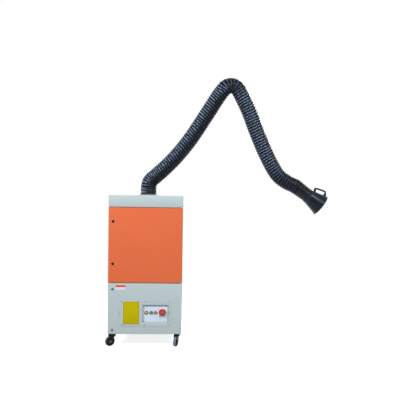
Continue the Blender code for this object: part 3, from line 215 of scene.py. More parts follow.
elbow = shoulder + lower_length * direction(lower_deg)
wrist = elbow + upper_length * direction(upper_deg)


def axes(origin, z_axis, x_axis=(1, 0, 0)):
    """Matrix whose local Z runs along z_axis, with local X as near to x_axis as it can be."""
    z = Vector(z_axis).normalized()
    x = Vector(x_axis)
    x = (x - z * x.dot(z)).normalized()
    matrix = Matrix((x, z.cross(x), z)).transposed().to_4x4()
    matrix.translation = Vector(origin)
    return matrix


def srgb(red, green, blue):
    """Linear colour of an 8-bit screen colour."""
    linear = []
    for level in (red, green, blue):
        share = level / 255
        linear.append(share / 12.92 if share <= 0.04045 else ((share + 0.055) / 1.055) ** 2.4)
    return (*linear, 1)


# Materials


class Value:
    """A node socket that takes part in plain arithmetic."""

    def __init__(self, tree, socket):
        self.tree = tree
        self.socket = socket

    def math(self, operation, *others, clamp=False):
        node = self.tree.nodes.new("ShaderNodeMath")
        node.operation = operation
        node.use_clamp = clamp
        for socket, item in zip(node.inputs, (self, *others)):
            feed(self.tree, socket, item)
        return Value(self.tree, node.outputs[0])

    def __add__(self, other):
        return self.math("ADD", other)

    __radd__ = __add__

    def __mul__(self, other):
        return self.math("MULTIPLY", other)

    __rmul__ = __mul__

    def __sub__(self, other):
        return self.math("SUBTRACT", other)

    def __rsub__(self, other):
        return self.math("MULTIPLY", -1) + other

    def clamp(self):
        return self.math("ADD", 0, clamp=True)

    def ramp(self, low, high):
        """0 below low and 1 above high, smooth between them."""
        node = self.tree.nodes.new("ShaderNodeMapRange")
        node.interpolation_type = "SMOOTHSTEP"
        for name, item in (("Value", self), ("From Min", low), ("From Max", high)):
            feed(self.tree, node.inputs[name], item)
        return Value(self.tree, node.outputs[0])


def feed(tree, socket, item):
    if isinstance(item, Value):
        tree.links.new(item.socket, socket)
    else:
        socket.default_value = item


def add_node(tree, kind, settings=None, inputs=None, output=0):
    """Any node: its settings first, then its sockets, then the output that is wanted."""
    node = tree.nodes.new(kind)
    for key, item in (settings or {}).items():
        setattr(node, key, item)
    for key, item in (inputs or {}).items():
        feed(tree, node.inputs[key], item)
    return Value(tree, node.outputs[output])


def shade(color, share, lift=0.0):
    """The colour at a share of its light, lifted by a grey."""
    return (*(level * share + lift for level in color[:3]), 1)


class Finish:
    """A material with one Principled shader and the nodes that feed it."""

    def __init__(self, name, color, roughness, **sockets):
        self.material = bpy.data.materials.new(name)
        self.material.use_nodes = True
        self.tree = self.material.node_tree
        self.shader = self.tree.nodes["Principled BSDF"]
        self.set("Base Color", color)
        self.set("Roughness", roughness)
        for key, item in sockets.items():
            self.set(key.replace("_", " ").title(), item)
        self.material.diffuse_color = color

    def set(self, name, item):
        names = {"Ior": "IOR", "Specular Level": "Specular IOR Level"}
        feed(self.tree, self.shader.inputs[names.get(name, name)], item)

    def node(self, kind, settings=None, inputs=None, output=0):
        return add_node(self.tree, kind, settings, inputs, output)

    def place(self, stretch=(1, 1, 1), kind="Object"):
        spot = self.node("ShaderNodeTexCoord", output=kind)
        return self.node("ShaderNodeMapping", inputs={"Vector": spot, "Scale": stretch})

    def axis(self, letter, kind="Object"):
        spot = self.node("ShaderNodeTexCoord", output=kind)
        return self.node("ShaderNodeSeparateXYZ", inputs={"Vector": spot}, output=letter)

    def noise(self, scale, detail=3.0, roughness=0.5, stretch=(1, 1, 1), kind="Object"):
        """Cloudy pattern with scale spots to the metre."""
        return self.node("ShaderNodeTexNoise", inputs={
            "Vector": self.place(stretch, kind), "Scale": scale, "Detail": detail, "Roughness": roughness})

    def mix(self, share, first, second):
        """Colour between two others."""
        node = self.tree.nodes.new("ShaderNodeMix")
        node.data_type = "RGBA"
        for socket, item in zip((node.inputs[0], node.inputs[6], node.inputs[7]), (share, first, second)):
            feed(self.tree, socket, item)
        return Value(self.tree, node.outputs[2])

    def edges(self, width):
        """About 1 on outer and inner edges and 0 on flat places."""
        rounded = self.node("ShaderNodeBevel", {"samples": 4}, {"Radius": width})
        flat = self.node("ShaderNodeNewGeometry", output="Normal")
        same = self.node("ShaderNodeVectorMath", {"operation": "DOT_PRODUCT"}, {0: rounded, 1: flat}, "Value")
        return (1 - same).ramp(0.01, 0.22)

    def crevices(self, reach):
        """About 1 in gaps and along the feet of raised pieces and 0 in the open."""
        open_share = self.node("ShaderNodeAmbientOcclusion", {"samples": 6}, {"Distance": reach}, "AO")
        return (1 - open_share).ramp(0.12, 0.75)

    def bump(self, height, distance, strength=1.0):
        self.set("Normal", self.node("ShaderNodeBump", inputs={
            "Height": height, "Distance": distance, "Strength": strength}))


def powder_coat(name, color, edge_wear_and_highlight, roughness=0.42, dust=0.10, specular=0.5):
    """Baked coat on sheet steel: orange peel, faint clouds, dust low down, thin wear on the edges that also
    stands as a painted highlight there, and painted shade in gaps and recesses.
    """
    coat = Finish(name, color, roughness, specular_level=specular)
    cloud = coat.noise(3.2, 4).ramp(0.3, 0.7)
    speck = coat.noise(140, 2).ramp(0.62, 0.75)
    low = 1 - coat.axis("Z").ramp(-0.02, 0.42)
    dirt = (low * coat.noise(22, 5, 0.65).ramp(0.35, 0.75) * dust + speck * 0.03).clamp()
    # edge wear, which also paints a lighter highlight along the rounded edges
    worn = coat.edges(0.0016) * coat.noise(90, 4, 0.7).ramp(0.50, 0.72) * 0.7
    tint = coat.mix(cloud * 0.06, color, (color[0] * 0.82, color[1] * 0.82, color[2] * 0.84, 1))
    tint = coat.mix(dirt, tint, srgb(128, 122, 112))
    # painted shade: the coat is painted darker, patchy with noise, in gaps, recesses and at the feet of
    # raised pieces, where shade falls
    crevice_shade = coat.crevices(0.010) * (coat.noise(45, 4).ramp(0.2, 0.8) * 0.35 + 0.45)
    tint = coat.mix(crevice_shade, tint, shade(color, 0.30))
    coat.set("Base Color", coat.mix(worn, tint, edge_wear_and_highlight))
    coat.set("Roughness", (coat.noise(6, 4) * 0.10 + roughness - 0.05 + dirt * 0.3).clamp())
    coat.bump(coat.noise(620, 2, 0.4) + coat.noise(60, 2) * 0.5, 0.00022, 0.55)
    return coat.material


def hose_fabric(length):
    """Coated fabric on a steel helix: valleys painted darker as shade between the ribs, and rib crests
    painted steel blue as a highlight on the lit side, less at the elbow and near the hood.
    """
    dark = srgb(17, 18, 21)
    skin = Finish("hose_fabric", dark, 0.36, specular_level=0.12, specular_tint=(0.62, 0.80, 1, 1))
    along = skin.axis("X", "UV")
    around = skin.axis("Y", "UV") * (1 / (2 * math.pi * hose_radius))
    height = (along * (1 / rib_pitch) - around).math("FRACT")
    height = (height - 0.5).math("ABSOLUTE") * 2
    past_elbow = along.ramp(elbow_at - 0.25, elbow_at + 0.09)
    # painted highlight: the rib crests are painted steel blue on the side that the key lamp lights, broken
    # into dashes, less at the elbow and near the hood
    side = (around - past_elbow * 0.22 - 0.07).math("FRACT")
    lit_side_highlight = 1 - (side - 0.5).math("ABSOLUTE").ramp(0.10, 0.22)
    bent = 1 - (along - elbow_at).math("ABSOLUTE").ramp(0.04, 0.15)
    plain = along.ramp(length - 0.42, length - 0.10)
    broken = skin.noise(44, 3, 0.6, (0.9, 1.5, 1), "UV").ramp(0.42, 0.58)
    crest = height.ramp(0.46, 0.90) * (broken * 0.80 + 0.20)
    crest = crest * (lit_side_highlight * 0.88 + 0.12) * (1 - bent * 0.72) * (1 - plain * 0.85) * (1 - past_elbow * 0.18)
    # painted shade: the valleys between the ribs are painted darker than the fabric, where shade falls
    tint = skin.mix(height.ramp(0.10, 0.60), srgb(4, 5, 6), dark)
    tint = skin.mix(crest, tint, srgb(146, 166, 198))
    skin.set("Base Color", tint)
    skin.set("Roughness", (skin.noise(30, 4, kind="UV") * 0.14 + 0.28).clamp())
    folds = skin.noise(70, 3, 0.6, (0.5, 1, 1), "UV")
    threads = (along * 2600).math("SINE")
    skin.bump(folds + threads * 0.04 + skin.noise(260, 2, kind="UV") * 0.15, 0.0022, 0.6)
    return skin.material


def side_highlight_coat():
    """Black coat with a steel-blue highlight painted on the side away from the arm."""
    dark = srgb(26, 30, 36)
    coat = Finish("rubbed_black_coat", dark, 0.36, specular_level=0.16, specular_tint=(0.60, 0.80, 1, 1))
    across = coat.axis("X") * (1 / collar_radius)
    # painted highlight: the side away from the arm is painted steel blue, broken by noise, where the key lamp
    # lights it
    paler_share = 1 - across.ramp(-0.85, 0.10)
    paler_share = paler_share * (coat.noise(50, 3, 0.6, (1, 1, 0.3)).ramp(0.36, 0.60) * 0.6 + 0.4)
    coat.set("Base Color", coat.mix(paler_share, dark, srgb(122, 140, 168)))
    coat.bump(coat.noise(400, 2), 0.0002, 0.4)
    return coat.material


def moulded_plastic(name, color, roughness=0.4, wear=0.5, specular=0.5, gloss=(1, 1, 1, 1)):
    """Textured moulding, paler where hands and edges rub it."""
    plastic = Finish(name, color, roughness, specular_level=specular, specular_tint=gloss)
    pale = shade(color, 0.7, 0.3 * 0.35)
    paler_share = plastic.edges(0.0009) * plastic.noise(160, 4, 0.7).ramp(0.45, 0.7) * wear
    cloud = plastic.noise(24, 4).ramp(0.35, 0.7)
    tint = plastic.mix(cloud * 0.12, color, shade(color, 0.72))
    plastic.set("Base Color", plastic.mix(paler_share, tint, pale))
    plastic.set("Roughness", (cloud * 0.12 + roughness - 0.04).clamp())
    plastic.bump(plastic.noise(1500, 2, 0.6), 0.00012, 0.5)
    return plastic.material


def rubber(name, color, roughness=0.68):
    tyre = Finish(name, color, roughness, specular_level=0.35)
    scuff = tyre.noise(70, 5, 0.7).ramp(0.45, 0.72)
    dust = tyre.edges(0.003) * tyre.noise(120, 3).ramp(0.4, 0.7)
    grey = srgb(118, 122, 126)
    tyre.set("Base Color", tyre.mix((scuff * 0.16 + dust * 0.25).clamp(), color, grey))
    tyre.set("Roughness", (scuff * 0.16 + roughness - 0.06).clamp())
    tyre.bump(tyre.noise(420, 3, 0.6), 0.0003, 0.6)
    return tyre.material


def zinc_sheet(name, color, grain=1.0):
    """Galvanised or plated steel with its spangle, fine scratches and dull spots."""
    zinc = Finish(name, color, 0.36, metallic=1.0)
    spangle = zinc.node("ShaderNodeTexVoronoi", inputs={
        "Vector": zinc.place(), "Scale": 70 * grain}, output="Color")
    spangle = zinc.node("ShaderNodeSeparateColor", inputs={"Color": spangle})
    scratch = zinc.noise(26 * grain, 4, 0.6, (1, 12, 1)).ramp(0.52, 0.62)
    dull = zinc.noise(9, 4, 0.6).ramp(0.45, 0.75)
    darker = shade(color, 0.74)
    zinc.set("Base Color", zinc.mix((spangle * 0.35 + dull * 0.35).clamp(), color, darker))
    zinc.set("Roughness", (spangle * 0.14 + scratch * 0.08 + dull * 0.14 + 0.24).clamp())
    zinc.bump(zinc.noise(300, 3) + scratch * 0.4, 0.0001, 0.5)
    return zinc.material


def brushed_metal(name, color, roughness=0.28, stretch=(0.05, 1, 1)):
    """Bare drawn or turned metal with fine lines."""
    metal = Finish(name, color, roughness, metallic=1.0)
    lines = metal.noise(900, 3, 0.6, stretch)
    smear = metal.noise(14, 4).ramp(0.4, 0.75)
    darker = shade(color, 0.8)
    metal.set("Base Color", metal.mix((lines * 0.3 + smear * 0.3).clamp(), color, darker))
    metal.set("Roughness", (lines * 0.12 + smear * 0.1 + roughness - 0.06).clamp())
    metal.bump(lines, 0.00006, 0.5)
    return metal.material


def cast_paint(name, color):
    """Thick enamel on a casting."""
    enamel = Finish(name, color, 0.38)
    lump = enamel.noise(210, 3, 0.6)
    soot = enamel.noise(17, 5, 0.6).ramp(0.42, 0.75)
    worn = enamel.edges(0.0015) * enamel.noise(60, 4).ramp(0.55, 0.7)
    tint = enamel.mix(soot * 0.4, color, shade(color, 0.45))
    enamel.set("Base Color", enamel.mix(worn * 0.6, tint, srgb(120, 124, 128)))
    enamel.set("Roughness", (soot * 0.22 + 0.34).clamp())
    enamel.bump(lump, 0.0005, 0.5)
    return enamel.material


def filter_paper(name, color):
    """Non-woven media: fibres, felted clouds and a grey bloom of dust on the upper side."""
    paper = Finish(name, color, 0.92, specular_level=0.2)
    fibre = paper.noise(900, 4, 0.7, (1, 0.3, 1))
    felt = paper.noise(45, 4).ramp(0.35, 0.7)
    upper = paper.node("ShaderNodeNewGeometry", output="Normal")
    upper = paper.node("ShaderNodeSeparateXYZ", inputs={"Vector": upper}, output="Z").ramp(0.1, 0.9)
    dust = upper * paper.noise(11, 5).ramp(0.3, 0.7)
    tint = paper.mix(felt * 0.2, color, srgb(196, 190, 176))
    paper.set("Base Color", paper.mix(dust * 0.35, tint, srgb(120, 118, 114)))
    paper.set("Roughness", (felt * 0.06 + 0.88).clamp())
    paper.bump(fibre, 0.0006, 0.7)
    return paper.material


def knob_plastic():
    """Crimson plastic whose face is painted paler than its rim, as a highlight where the light falls on it.
    """
    base = srgb(158, 32, 60)
    knob = Finish("crimson_knob_plastic", base, 0.42, specular_level=0.35)
    across = knob.axis("X") - isolator_x
    upward = knob.axis("Z") - (lamp_row + isolator_rise)
    away = (across * across + upward * upward).math("SQRT")
    # painted highlight: the face inside the rim is painted paler pink, patchy with noise
    face = 1 - away.ramp(0.017, 0.0255)
    knob.set("Base Color", knob.mix(face * (knob.noise(90, 3) * 0.5 + 0.6).clamp(), base, srgb(192, 84, 104)))
    knob.bump(knob.noise(700, 2), 0.0001, 0.4)
    return knob.material


def lens_plastic():
    """Amber lamp lens, faintly clouded, with a clear gloss."""
    lens = Finish("amber_lens", srgb(255, 172, 10), 0.16, coat_weight=0.4, coat_roughness=0.08, ior=1.49)
    cloud = lens.noise(160, 3).ramp(0.35, 0.7)
    lens.set("Base Color", lens.mix(cloud * 0.5, srgb(255, 184, 8), srgb(232, 140, 6)))
    lens.set("Roughness", (cloud * 0.1 + 0.12).clamp())
    lens.bump(lens.noise(500, 2), 0.0002, 0.4)
    return lens.material


# Finishes of the pieces: most are a material and the slot of the record that it stands for, and a few are
# bare materials for frame nodes

pale_coat = powder_coat("pale_powder_coat", srgb(187, 201, 203), srgb(206, 212, 212)), "pale_paint"
orange_coat = powder_coat("orange_powder_coat", srgb(221, 103, 56), srgb(236, 150, 112), 0.44), "orange_paint"
black_coat = powder_coat("black_powder_coat", srgb(9, 11, 14), srgb(54, 60, 68), 0.32, 0.03,
                         0.11), "black_paint"
collar_coat = powder_coat("collar_black_coat", srgb(31, 37, 46), srgb(98, 110, 130), 0.34, 0.03,
                           0.14), "black_plastic"
band_coat = side_highlight_coat(), "black_plastic"
black_plastic = moulded_plastic("black_plastic", srgb(16, 18, 21), 0.30, 0.10, 0.16), "black_plastic"
hood_plastic = moulded_plastic("hood_plastic", srgb(6, 7, 8), 0.34, 0.03, 0.26,
                               (0.58, 0.76, 1, 1)), "black_plastic"
control_coat = powder_coat("control_plate_coat", srgb(212, 227, 243), srgb(220, 226, 232), 0.4,
                            0.04), "control_panel"
bare_white = moulded_plastic("bare_white_plate", srgb(222, 226, 238), 0.45, 0.2, 0.3), "control_panel"
bare_yellow = moulded_plastic("bare_yellow_plate", srgb(196, 183, 2), 0.45, 0.3, 0.10), "yellow_plate"
yellow_border = moulded_plastic("yellow_plate_border", srgb(160, 146, 0), 0.45, 0.3, 0.10), "yellow_plate"
label_band = moulded_plastic("label_band", srgb(228, 74, 44), 0.45, 0.2, 0.3), "orange_paint"
isolator_yellow = moulded_plastic("isolator_yellow", srgb(236, 188, 24), 0.38, 0.3), "yellow_plate"
green_plastic = moulded_plastic("green_button_plastic", srgb(30, 152, 106), 0.42, 0.2, 0.35), "green_cap"
red_plastic = moulded_plastic("red_button_plastic", srgb(252, 86, 86), 0.42, 0.2, 0.35), "red_cap"
crimson_plastic = knob_plastic(), "crimson_knob"
hub_plastic = moulded_plastic("castor_hub_plastic", srgb(14, 16, 20), 0.42, 0.25, 0.20), "motor_housing"
# painted reflection: the black rubber tyre is painted pale steel blue for the sky mirrored on its tread
tyre_painted_reflection = rubber("castor_tyre_rubber", srgb(116, 130, 148)), "wheel_rubber"
seal_rubber = rubber("door_seal_rubber", srgb(34, 35, 37), 0.75)
zinc = zinc_sheet("galvanised_sheet", srgb(186, 190, 193))
plated = zinc_sheet("zinc_plated_parts", srgb(196, 200, 202), 4.0), "zinc_plate"
aluminium = brushed_metal("brushed_aluminium", srgb(205, 207, 209), 0.30)
spun_aluminium = brushed_metal("cast_impeller_aluminium", srgb(190, 192, 195), 0.38,
                               (1, 1, 0.1)), "bare_aluminium"
gunmetal = brushed_metal("lock_gunmetal", srgb(92, 97, 103), 0.34, (1, 1, 0.2)), "zinc_plate"
bezel_grey = moulded_plastic("button_bezel_grey", srgb(104, 110, 122), 0.40, 0.2, 0.3), "lock_chrome"
lock_grey = moulded_plastic("lock_flange_grey", srgb(172, 181, 188), 0.50, 0.2, 0.3), "lock_chrome"
key_grey = moulded_plastic("lock_key_grey", srgb(78, 84, 98), 0.40, 0.2, 0.4), "lock_chrome"
# painted reflection: the bezel of black plastic is painted bronze for the amber lens's light mirrored in its
# ring
bezel_amber_reflection = moulded_plastic("amber_bezel_bronze", srgb(86, 62, 30), 0.30, 0.2, 0.4), "black_plastic"
screw_grey = moulded_plastic("painted_screws", srgb(146, 158, 166), 0.40, 0.2, 0.4), "zinc_plate"
backing_film = moulded_plastic("pale_backing_film", srgb(190, 201, 216), 0.45, 0.2, 0.3), "control_panel"
motor_enamel = cast_paint("motor_enamel", srgb(72, 88, 104)), "motor_housing"
media = filter_paper("filter_media", srgb(224, 220, 208)), "filter_media"
amber = lens_plastic(), "amber_lens"
handle_coat = black_coat[0], "black_plastic"


# Shapes


def turns(count, first=0.0):
    """Evenly spaced angles round a full circle."""
    return [first + 2 * math.pi * i / count for i in range(count)]


def polygon(sides, radius, first=0.0):
    return [(radius * math.cos(angle), radius * math.sin(angle)) for angle in turns(sides, first)]


def lifted(place, outline, level=0.0):
    """Points of an outline at a level of the place."""
    return [place @ Vector((x, y, level)) for x, y in outline]


def around(place, count, radius, level=0.0, first=0.0):
    """Spots on a circle of the place, each with its outward direction."""
    for x, y in polygon(count, 1.0, first):
        yield place @ Vector((x * radius, y * radius, level)), place.to_3x3() @ Vector((x, y, 0))


def as_mesh(name, shape):
    mesh = bpy.data.meshes.new(name)
    shape.to_mesh(mesh)
    shape.free()
    return mesh


def placed(name, data):
    """Object of that data, linked to the scene."""
    thing = bpy.data.objects.new(name, data)
    bpy.context.scene.collection.objects.link(thing)
    return thing


def group(*shapes):
    """Several closed shapes in one."""
    whole = bmesh.new()
    for shape in shapes:
        mesh = as_mesh("part", shape)
        whole.from_mesh(mesh)
        bpy.data.meshes.remove(mesh)
    return whole


def boolean(shape, tool, operation):
    """The first shape after one exact Boolean with the other."""
    helpers = [placed("helper", as_mesh("part", part)) for part in (shape, tool)]
    modifier = helpers[0].modifiers.new("cut", "BOOLEAN")
    modifier.operation = operation
    modifier.solver = "EXACT"
    modifier.object = helpers[1]
    mesh = bpy.data.meshes.new_from_object(helpers[0].evaluated_get(bpy.context.evaluated_depsgraph_get()))
    result = bmesh.new()
    result.from_mesh(mesh)
    for spent in (mesh, helpers[0].data, helpers[1].data):
        bpy.data.meshes.remove(spent)
    return result


def cut(shape, *tools):
    for tool in tools:
        shape = boolean(shape, tool, "DIFFERENCE")
    return shape


def loft(loops, close=False):
    """Skin over loops of points, capped at both ends or closed into a ring. A loop of one point is a pole."""
    shape = bmesh.new()
    rows = [[shape.verts.new(point) for point in loop] for loop in loops]
    pairs = list(zip(rows, rows[1:]))
    if close:
        pairs.append((rows[-1], rows[0]))
    for low, high in pairs:
        sides = max(len(low), len(high))
        for i in range(sides):
            j = (i + 1) % sides
            corners = [low[i % len(low)], low[j % len(low)], high[j % len(high)], high[i % len(high)]]
            shape.faces.new(list(dict.fromkeys(corners)))
    if not close:
        for row in (rows[0], rows[-1]):
            if len(row) > 1:
                shape.faces.new(row)
    bmesh.ops.remove_doubles(shape, verts=shape.verts, dist=fit / 100)
    bmesh.ops.recalc_face_normals(shape, faces=shape.faces)
    return shape


def lathe(profile, place, sides=round_sides, close=False):
    """Turned solid from (radius, height) points about the local Z of place. A zero radius makes a pole."""
    loops = [lifted(place, polygon(sides if radius else 1, radius), height) for radius, height in profile]
    return loft(loops, close)


def eased(profile, radius):
    """The profile with each corner between two of its points rounded off."""
    points = [profile[0]]
    for before, corner, after in zip(profile, profile[1:], profile[2:]):
        middle = Vector(corner)
        back = Vector(before) - middle
        ahead = Vector(after) - middle
        reach = min(radius, back.length / 2.5, ahead.length / 2.5)
        if reach <= 0:
            points.append(corner)
            continue
        start = middle + back.normalized() * reach
        end = middle + ahead.normalized() * reach
        points += rounded_corner(start, middle, end, 3)
    points.append(profile[-1])
    return points


def rounded_corner(start, corner, end, steps):
    """Points on the curve that rounds a corner off."""
    shares = [step / steps for step in range(steps + 1)]
    return [start.lerp(corner, share).lerp(corner.lerp(end, share), share) for share in shares]


def turned(profile, ease, place, sides=round_sides, close=False):
    """Turned solid whose corners are eased."""
    return lathe(eased(profile, ease), place, sides, close)


def rod(radius, low, high, place, sides=small_sides):
    return lathe([(0, low), (radius, low), (radius, high), (0, high)], place, sides)


def torus(radius, level, thickness, sides, place):
    """Wire ring about the local Z of place."""
    ring = [(radius + x, level + y) for x, y in polygon(sides, thickness)]
    return lathe(ring, place, smooth_sides, close=True)


def rounded_rectangle(width, height, corner, centre=(0, 0), steps=fine):
    points = []
    for quarter, (sx, sy) in enumerate(((1, 1), (-1, 1), (-1, -1), (1, -1))):
        for step in range(steps + 1):
            angle = math.pi / 2 * (quarter + step / steps)
            points.append((centre[0] + sx * (width / 2 - corner) + corner * math.cos(angle),
                           centre[1] + sy * (height / 2 - corner) + corner * math.sin(angle)))
    return points


def inset_loop(size, corner, inset, level, place, centre=(0, 0), steps=fine):
    """Rounded rectangle drawn in by an inset, at a level of the place."""
    width, height = size
    outline = rounded_rectangle(width - 2 * inset, height - 2 * inset, corner - inset, centre, steps)
    return lifted(place, outline, level)


def rounded_bar(start, end, radius, steps=12):
    """Outline of a flat bar between two points, with both ends round."""
    along_bar = math.atan2(end[1] - start[1], end[0] - start[0])
    points = []
    for centre, turn in ((end, -math.pi / 2), (start, math.pi / 2)):
        for step in range(steps + 1):
            angle = along_bar + turn + math.pi * step / steps
            points.append((centre[0] + radius * math.cos(angle), centre[1] + radius * math.sin(angle)))
    return points


def prism(outline, low, high, place):
    return loft([lifted(place, outline, level) for level in (low, high)])


def bend_steps(radius, steps):
    """(inset, rise) pairs of a quarter bend."""
    angles = [math.pi / 2 * step / steps for step in range(steps + 1)]
    return [(radius * (1 - math.sin(angle)), radius * (1 - math.cos(angle))) for angle in angles]


def slab(width, height, corner, low, high, place, edge=0.0006, centre=(0, 0)):
    """Rounded plate between two local levels, with its rim eased on both faces."""
    loops = []
    for level, sign in ((low, 1), (high, -1)):
        for inset, rise in bend_steps(edge, 3)[::sign]:
            loops.append(inset_loop((width, height), corner, inset, level + sign * rise, place, centre))
    return loft(loops)


def folded_shell(width, height, depth, sheet, place, lip):
    """Sheet-metal pan with its face on the local plane z = 0, open at z = depth, with an inward lip there."""
    steps = bend_steps(fold_edge, fine)
    steps += [(0, depth - sheet / 2), (sheet / 4, depth), (lip, depth), (lip, depth - sheet),
              (sheet, depth - sheet), (sheet, sheet)]
    return loft([inset_loop((width, height), max(fold_corner, fold_corner / 3 + inset), inset, level, place)
                 for inset, level in steps])


def button_head(place, radius):
    """Domed screw head with a hexagon socket, its foot on the local plane z = 0."""
    loops = []
    for share, rise, hexagon in (
            (1.0, 0.0, False), (1.0, 0.12, False), (0.93, 0.3, False), (0.76, 0.46, False),
            (0.52, 0.55, False), (0.45, 0.55, True), (0.42, 0.2, True)):
        outline = []
        for angle in turns(24):
            flat = math.cos((angle + math.pi / 6) % (math.pi / 3) - math.pi / 6) * 1.08 if hexagon else 1
            reach = radius * share / flat
            outline.append((reach * math.cos(angle), reach * math.sin(angle)))
        loops.append(lifted(place, outline, rise * radius))
    return loft(loops)


def hex_head(place, radius, height):
    """Hexagon bolt head with its corners turned off and a washer face."""
    disc = [(0, 0), (radius * 1.25, 0), (radius * 1.25, height / 4), (0, height / 4)]
    washer = turned(disc, height / 20, place, small_sides)
    body = prism(polygon(6, radius), height / 5, height, place)
    cone = lathe([(0, 0), (radius * 1.1, 0), (radius * 1.05, height * 0.8), (radius * 0.86, height * 1.02),
                  (0, height * 1.02)], place, small_sides)
    return group(washer, boolean(body, cone, "INTERSECT"))


# Pieces on the frame


def piece(name, shape, finish, body, *replaced):
    """Named object from a shape in the frame's coordinates, riding on one of the frame's bodies."""
    material, slot = finish
    mesh = as_mesh(name, shape)
    mesh.materials.append(material)
    mesh.shade_smooth()
    mesh.set_sharp_from_angle(angle=math.radians(35))
    thing = placed(name, mesh)
    if replaced:
        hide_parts(*replaced)
    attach(thing, body)


def paint_nodes(material, *names):
    """Material for frame nodes that stay shown."""
    for name in names:
        slots = frame["nodes"][name].data.materials
        slots.clear()
        slots.append(material)


def joint_place(name, key="pos_m"):
    """Position or axis of a joint of the frame."""
    joints = {joint["name"]: joint for joint in frame["record"]["behaviour"]["joints"]}
    return Vector(joints[name][key])


def facing(x, y, z):
    """Place on the front: local X to the right, local Y down and local Z into the cabinet."""
    return axes((x, y, z), (0, 1, 0))


def fronting(x, y, z):
    """Place on the front: local X to the right, local Y up and local Z towards the viewer."""
    return axes((x, y, z), (0, -1, 0))


# Cabinet shells and doors


def cabinet_shells():
    top = axes((0, 0, cabinet_height), (0, 0, -1))
    cover = folded_shell(cabinet_width, cabinet_depth, cover_height, cover_sheet, top, cover_lip)
    cover = cut(cover, rod(inlet_radius, -cut_reach, 2 * cut_reach, top, round_sides))
    piece("top_cover_shell", cover, pale_coat, "cabinet", "top_cover")
    low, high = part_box("base_pan")
    place = Matrix.Translation((0, (low.y + high.y) / 2, 0))
    pan = folded_shell(cabinet_width, high.y - low.y, base_height, cover_sheet, place, base_lip)
    piece("base_pan_shell", pan, pale_coat, "cabinet", "base_pan")


def rear_screws():
    low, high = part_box("rear_panel")
    height = high.z - low.z - 2 * rear_screw_end
    spots = [(side * (high.x - rear_screw_margin), low.z + rear_screw_end + height * row / 4)
             for side in (-1, 1) for row in range(5)]
    spots += [(high.x * (column / 2 - 1), z)
              for column in (1, 2, 3) for z in (low.z + rear_screw_margin, high.z - rear_screw_margin)]
    heads = [button_head(axes((x, rear_face, z), (0, 1, 0)), 0.0048) for x, z in spots]
    piece("rear_panel_screws", group(*heads), plated, "cabinet")


def cable_gland():
    """Gland body with its ribbed cap, and the nut behind it."""
    low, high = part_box("cable_gland")
    place = axes(((low.x + high.x) / 2, rear_face, (low.z + high.z) / 2), (0, 1, 0))
    profile = [(0.0045, -0.012), (0.0100, -0.012), (0.0100, 0.0003), (0.0142, 0.0003), (0.0142, 0.004),
               (0.0128, 0.0052), (0.0128, 0.0135), (0.0122, 0.0150), (0.0104, 0.0215), (0.0085, 0.0240),
               (0.0045, 0.0240)]
    body = turned(profile, 0.0005, place, close=True)
    ribs = [slab(0.0022, 0.0016, 0.0006, 0, 0.0076, axes(spot, (0, 1, 0)), 0.0003)
            for spot, out in around(place, 12, 0.0126, 0.0056)]
    nut = prism(polygon(6, 0.0150), 0.0004, 0.0042, place)
    piece("cable_gland_body", group(body, nut, *ribs), black_plastic, "cabinet", "cable_gland")


def door(name, finish, lock_heights, *openings):
    """Folded door shell with the bores of its locks and any other openings."""
    low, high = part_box(name)
    place = facing(0, door_front, (low.z + high.z) / 2)
    shape = folded_shell(door_width, high.z - low.z, door_depth, door_sheet, place, door_lip)
    bores = [rod(lock_bore, -cut_reach, cut_depth, facing(lock_x, door_front, z)) for z in lock_heights]
    piece(f"{name}_shell", cut(shape, *bores, *openings), finish, name, name)


def doors():
    outline = rounded_rectangle(plate_size[0] - plate_overlap, plate_size[1] - plate_overlap, plate_corner)
    opening = prism(outline, -cut_reach, cut_depth, facing(0, door_front, plate_centre))
    door("filter_door", orange_coat, filter_locks)
    door("service_door", pale_coat, service_locks, opening)
    square_key = (4, 0.0050, 0, math.pi / 4)
    triangle_key = (3, 0.0138, -0.0036, -math.pi / 2)
    for side, rows, *look in (
            ("filter", filter_locks, 0.01175, square_key, black_plastic, black_plastic),
            ("service", service_locks, 0.0130, triangle_key, lock_grey, key_grey)):
        for z, end in zip(rows, ("top", "bottom")):
            quarter_turn(side, end, z, *look)


def quarter_turn(side, end, z, radius, key, finish, key_finish):
    """Lock housing with its nut, and the turning core with its key boss and cam."""
    lock = f"{side}_door_lock_{end}"
    cam = f"{side}_door_cam_{end}"
    body = f"{side}_cam_{end}"
    place = facing(lock_x, door_front, z)
    rim = [(0.0064, -0.0033), (radius - 0.0026, -0.0033), (radius, -0.0016), (radius, -fit), (0.0095, -fit),
           (0.0095, 0.0260), (0.0064, 0.0260)]
    nut = cut(prism(polygon(6, 0.0135), 0.0023, 0.0068, place), rod(0.0090, 0, cut_reach, place))
    housing = group(turned(rim, 0.0009, place, close=True), nut)
    piece(f"{lock}_housing", housing, finish, f"{side}_door", lock)

    spindle = [(0, -0.0012), (0.0060, -0.0012), (0.0060, 0.0310), (0, 0.0310)]
    core = turned(spindle, 0.0004, place, small_sides)
    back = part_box(cam)[1].y - door_front
    towards = 1 if end == "top" else -1
    tongue = prism(rounded_bar((0, 0), (0, towards * 0.020), 0.007), back - 0.003, back, place)
    screw = hex_head(facing(lock_x, door_front + back - 0.0006, z), 0.0036, 0.0026)
    piece(f"{cam}_core", group(core, tongue, screw), finish, body, cam)
    sides, reach, base, first = key
    boss = loft([lifted(place, polygon(sides, reach * share, first), level)
                 for share, level in ((1, base), (1, -0.0048), (0.90, -0.0056))])
    piece(f"{cam}_key", boss, key_finish, body)


# Access plate and controls


